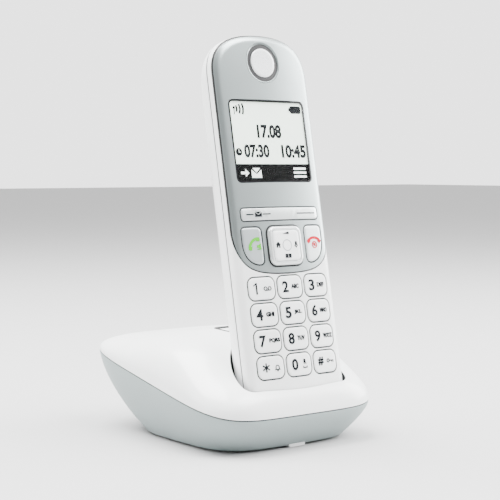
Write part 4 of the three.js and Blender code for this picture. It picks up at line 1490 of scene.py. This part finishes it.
        # The skirt's near-black rubber is painted shade for the gap round the key.
        outline = self.face.block(self.face.nav, corner, self.face.nav_shade_skirt)
        skirt = moulded("nav_shade_skirt", outline, [(0, 1.6), (0, 0.1), (0.2, 0.0)], MAT_RUBBER_AND_GAP_SHADE)
        pale = Marks(GREY_LINE, -self.nav_rise, 0.06)
        pale.ring(0, middle, 2.2, 0.34)
        piece = joined([rim, plateau, skirt, *ink.parts, *pale.parts], "nav_key_cap")
        finish_piece(piece, "nav_key", Drawn.HANDSET, ["nav_key"])

    def make(self) -> None:
        """Makes all four controls."""
        self.make_talk()
        self.make_end()
        self.make_softkey()
        self.make_nav()


def envelope(ink: Marks, middle: Point, width: float, height: float, stroke: float) -> None:
    """Adds a closed envelope: a body under a flap, with a thin gap between them.

    Args:
        ink: the marks to add to.
        middle: middle of the envelope.
        width: its width.
        height: its height.
        stroke: width of the gap.
    """
    x, z = middle
    left, right, low, high = x - width / 2, x + width / 2, z - height / 2, z + height / 2
    ink.area([(left, low), (right, low), (right, high - stroke), (x, z - stroke), (left, high - stroke)])
    ink.area([(left + stroke, high), (x, z + stroke * 0.3), (right - stroke, high)])


@dataclass
class Display:
    """Display: black surround, pale screen with plain signs, and a clear lens."""

    form: HandsetForm
    face: Face
    depth: float = 1.5
    half: float = 19.1
    heights: tuple[float, float, float] = (94.9, 102.3, 128.3)

    def make_surround(self) -> None:
        """Makes the black frame of the lens, level with the panel."""
        half, low, high = self.face.display
        outer = rounded_rectangle(-half + 0.12, half - 0.12, low + 0.12, high - 0.12, 2.1)
        steps = [(0, 3.0), (0, 0.15), (0.08, 0.06), (0.3, 0.06)]
        frame_piece = self.form.bent(moulded("display_surround", outer, steps, GLOSS_BLACK))
        inner = rounded_rectangle(-half + 0.8, half - 0.8, low + 0.8, high - 0.8, 1.5)
        carve(frame_piece, face_prism("view", inner, -5, 12))
        finish_piece(frame_piece, "handset", Drawn.HANDSET, ["display_frame"])

    def make_screen(self) -> None:
        """Makes the flat pale screen and its signs, just behind the lens; the pale screen and the white signs
        glow, painted light that brightens them.
        """
        depth = self.depth
        low, split, high = self.heights
        steps = [(0, 3.0), (0, depth)]
        view = rounded_rectangle(-self.half, self.half, split, high, 0.8, 3)
        screen = moulded("screen", view, steps, SCREEN_PAINTED_GLOW)
        strip = rounded_rectangle(-self.half, self.half, low, split, 0.8, 3)
        bar = moulded("screen_bar", strip, steps, SCREEN_BLACK)
        ink = Marks(INK, depth, 0.05)
        ink.area(circle(-16.6, 125.4, 0.6, 16))
        ink.box(-16.8, -16.4, 122.6, 125.2, 0.05)
        for step in range(3):
            ink.arc(-17.6, 125.0, 2.4 + 1.6 * step, 0.85, 5 * step - 34, 34 - 5 * step)
        ink.box(12.4, 18.2, 123.6, 126.8, 0.9)
        ink.box(11.7, 12.6, 124.5, 125.9, 0.2)
        ink.text("17.08", -6.2, 112.9, 5.8, 12.6, 0.045)
        ink.text("07:30", -13.9, 104.8, 5.6, 12.9, 0.045)
        ink.text("10:45", 5.4, 104.8, 5.6, 12.9, 0.045)
        ink.area(circle(-16.6, 107.2, 1.6, 28))
        pale = Marks(SCREEN_PAINTED_GLOW, depth - 0.05, 0.03)
        pale.box(-16.7, -16.5, 107.1, 108.2, 0.05)
        pale.box(-16.7, -15.7, 107.0, 107.2, 0.05)
        white = Marks(SCREEN_LIGHT_PAINTED_GLOW, depth, 0.05)
        white.box(-16.8, -14.4, 98.1, 99.1, 0.1)
        white.area([(-14.5, 97.0), (-12.7, 98.6), (-14.5, 100.2)])
        envelope(white, (-8.9, 98.6), 5.0, 4.0, 0.6)
        for step in range(3):
            white.box(10.6, 17.2, 96.6 + 1.65 * step, 97.45 + 1.65 * step, 0.2)
        parts = [screen, bar, *ink.parts, *pale.parts, *white.parts]
        piece = joined(parts, "screen_with_signs")
        finish_piece(piece, "handset", Drawn.HANDSET, ["lcd_module"])

    def make_lens(self) -> None:
        """Makes the clear lens: crowned in front like the panel, flat behind."""
        half, low, high = self.face.display
        outer = rounded_rectangle(-half + 0.85, half - 0.85, low + 0.85, high - 0.85, 1.5)
        lens = moulded("display_lens", outer, [(0, 1.35), (0, 0.14), (0.1, 0.08), (0.3, 0.08)], LENS)
        for vertex in lens.data.vertices:
            if vertex.co.y < 1:
                vertex.co.y += self.form.crown(vertex.co.x)
        finish_piece(lens, "handset", Drawn.HANDSET, ["display_window"])

    def make(self) -> None:
        """Makes the display."""
        self.make_surround()
        self.make_screen()
        self.make_lens()


@dataclass
class Earpiece:
    """Earpiece: a polished disc in a dark ring groove."""

    form: HandsetForm
    face: Face

    def make(self) -> None:
        """Makes the ring and the disc."""
        z, radius = self.face.ear_height, self.face.ear_radius
        steps = [(0, 2.0), (0, 0.05), (0.08, -0.06), (0.3, -0.02), (0.45, 0.3), (0.5, 1.2), (3, 1.2)]
        bevel = moulded("earpiece_bevel", circle(0, z, radius, 72), steps, SILVER)
        steps = [(0, 1.3), (0, 0.4), (0.1, 0.32), (2.1, 0.32), (2.15, 0.9), (3.2, 0.9)]
        groove = moulded("earpiece_groove", circle(0, z, radius - 0.4, 72), steps, SOFT_BLACK_AND_GAP_SHADE)
        ring = self.form.bent(joined([bevel, groove], "earpiece_groove"))
        finish_piece(ring, "handset", Drawn.HANDSET, ["earpiece_ring"])
        steps = [(0, 1.1), (0, 0.15), (0.12, 0.02), (0.4, -0.04), (1.2, -0.02), (2.8, 0.04), (4.2, 0.06)]
        disc = moulded("earpiece_cap", circle(0, z, radius - 2.3, 72), steps, DISC_PEARL)
        self.form.bent(disc)
        finish_piece(disc, "handset", Drawn.HANDSET, ["earpiece_disc"])


# ------------------------------------------------------------------ carried-over nodes


INNER_FINISHES: dict[str, Finish] = {
    "base_circuit_board": BOARD, "handset_circuit_board": BOARD, "page_switch": SOFT_BLACK_AND_GAP_SHADE,
    "power_socket": SOFT_BLACK_AND_GAP_SHADE, "line_socket": SOFT_BLACK_AND_GAP_SHADE, "earpiece_speaker": SOFT_BLACK_AND_GAP_SHADE,
    "microphone": SOFT_BLACK_AND_GAP_SHADE, "loudspeaker": SOFT_BLACK_AND_GAP_SHADE, "antenna": GOLD, "keypad_mat": MAT_RUBBER_AND_GAP_SHADE,
    "nav_carrier": SOFT_BLACK_AND_GAP_SHADE, "battery_spring_lower": STEEL, "battery_spring_upper": STEEL,
    "charge_pad_left": GOLD, "charge_pad_right": GOLD, "charge_contact_left": GOLD,
    "charge_contact_right": GOLD, "battery_cell_left": SLEEVE, "battery_cell_right": SLEEVE,
    "base_screw_left": STEEL, "base_screw_right": STEEL,
    "shell_screw_left": STEEL, "shell_screw_right": STEEL,
}


def dress_inner_nodes() -> None:
    """Gives the nodes that stay as they are their finishes."""
    for name, finish in INNER_FINISHES.items():
        dress(frame["nodes"][name], finish)


# ------------------------------------------------------------------ studio


@dataclass
class Studio:
    """Pale floor, soft lights and the camera."""

    lens: float = 93.68
    sensor: float = 36.0
    azimuth: float = -37.58
    elevation: float = 3.61
    place: Place = (-0.3327, -0.4455, 0.1125)
    bright_side: Place = (0.75, 0.55, 0.3)
    dim: float = 0.12
    bright: float = 2.9

    def make_floor(self) -> None:
        """Makes the floor: a wide sheet."""
        bpy.ops.object.select_all(action="DESELECT")
        bpy.ops.mesh.primitive_plane_add(size=12)
        floor = bpy.context.object
        floor.name = "studio_floor"
        dress(floor, Finish("floor_pale", (0.46, 0.46, 0.46), 0.8, uneven=0.0, bump=0.0))

    def make_camera(self) -> None:
        """Makes the camera and puts it in use."""
        bpy.ops.object.camera_add(location=self.place)
        camera = bpy.context.object
        turn, lift = math.radians(self.azimuth), math.radians(self.elevation)
        camera.rotation_euler = (math.radians(90) - lift, 0, turn)
        camera.data.lens = self.lens
        camera.data.sensor_width = self.sensor
        camera.data.clip_start = 0.02
        bpy.context.scene.camera = camera

    @staticmethod
    def add_light(name: str, place: Place, aim: Place, size: float, power: float) -> None:
        """Adds a square soft light.

        Args:
            name: name of the light.
            place: where it hangs.
            aim: the point that it faces.
            size: length of its side.
            power: its power in watts.
        """
        bpy.ops.object.light_add(type="AREA", location=place)
        light = bpy.context.object
        light.name = name
        light.data.size = size
        light.data.energy = power
        light.rotation_euler = (Vector(aim) - Vector(place)).to_track_quat("-Z", "Y").to_euler()

    def make(self) -> None:
        """Makes the whole studio."""
        self.make_floor()
        self.make_camera()
        world = bpy.context.scene.world or bpy.data.worlds.new("studio_world")
        bpy.context.scene.world = world
        world.use_nodes = True
        tree = world.node_tree
        background = tree.nodes["Background"]
        background.inputs["Color"].default_value = (1, 1, 1, 1)
        towards = tree.nodes.new("ShaderNodeVectorMath")
        towards.operation = "DOT_PRODUCT"
        towards.inputs[1].default_value = self.bright_side
        tree.links.new(tree.nodes.new("ShaderNodeTexCoord").outputs["Generated"], towards.inputs[0])
        fade = tree.nodes.new("ShaderNodeMapRange")
        fade.interpolation_type = "SMOOTHSTEP"
        fade.inputs["From Min"].default_value = -0.35
        fade.inputs["From Max"].default_value = 0.75
        fade.inputs["To Min"].default_value = self.dim
        fade.inputs["To Max"].default_value = self.bright
        tree.links.new(towards.outputs["Value"], fade.inputs["Value"])
        tree.links.new(fade.outputs["Result"], background.inputs["Strength"])
        self.add_light("overhead_softbox", (-0.25, 0.25, 1.0), (0, 0, 0.03), 0.8, 56)
        self.add_light("key_softbox", (0.3, -0.5, 0.95), (0, 0, 0.06), 0.6, 24)
        self.add_light("right_softbox", (0.85, -0.25, 0.4), (0, 0, 0.09), 0.6, 18)
        self.add_light("left_softbox", (-0.9, 0.25, 0.35), (0, 0, 0.09), 0.5, 5)


def main() -> None:
    """Builds the studio and the phone, and reports each piece."""
    logging.basicConfig(level=logging.INFO, format="%(name)s %(message)s")
    Studio().make()
    form = HandsetForm()
    face = Face(form)
    ChargingBase().make()
    HandsetShells(form, face).make()
    Display(form, face).make()
    Earpiece(form, face).make()
    Keypad(form, face).make()
    Controls(form, face).make()
    dress_inner_nodes()


if __name__ == "__main__":
    main()
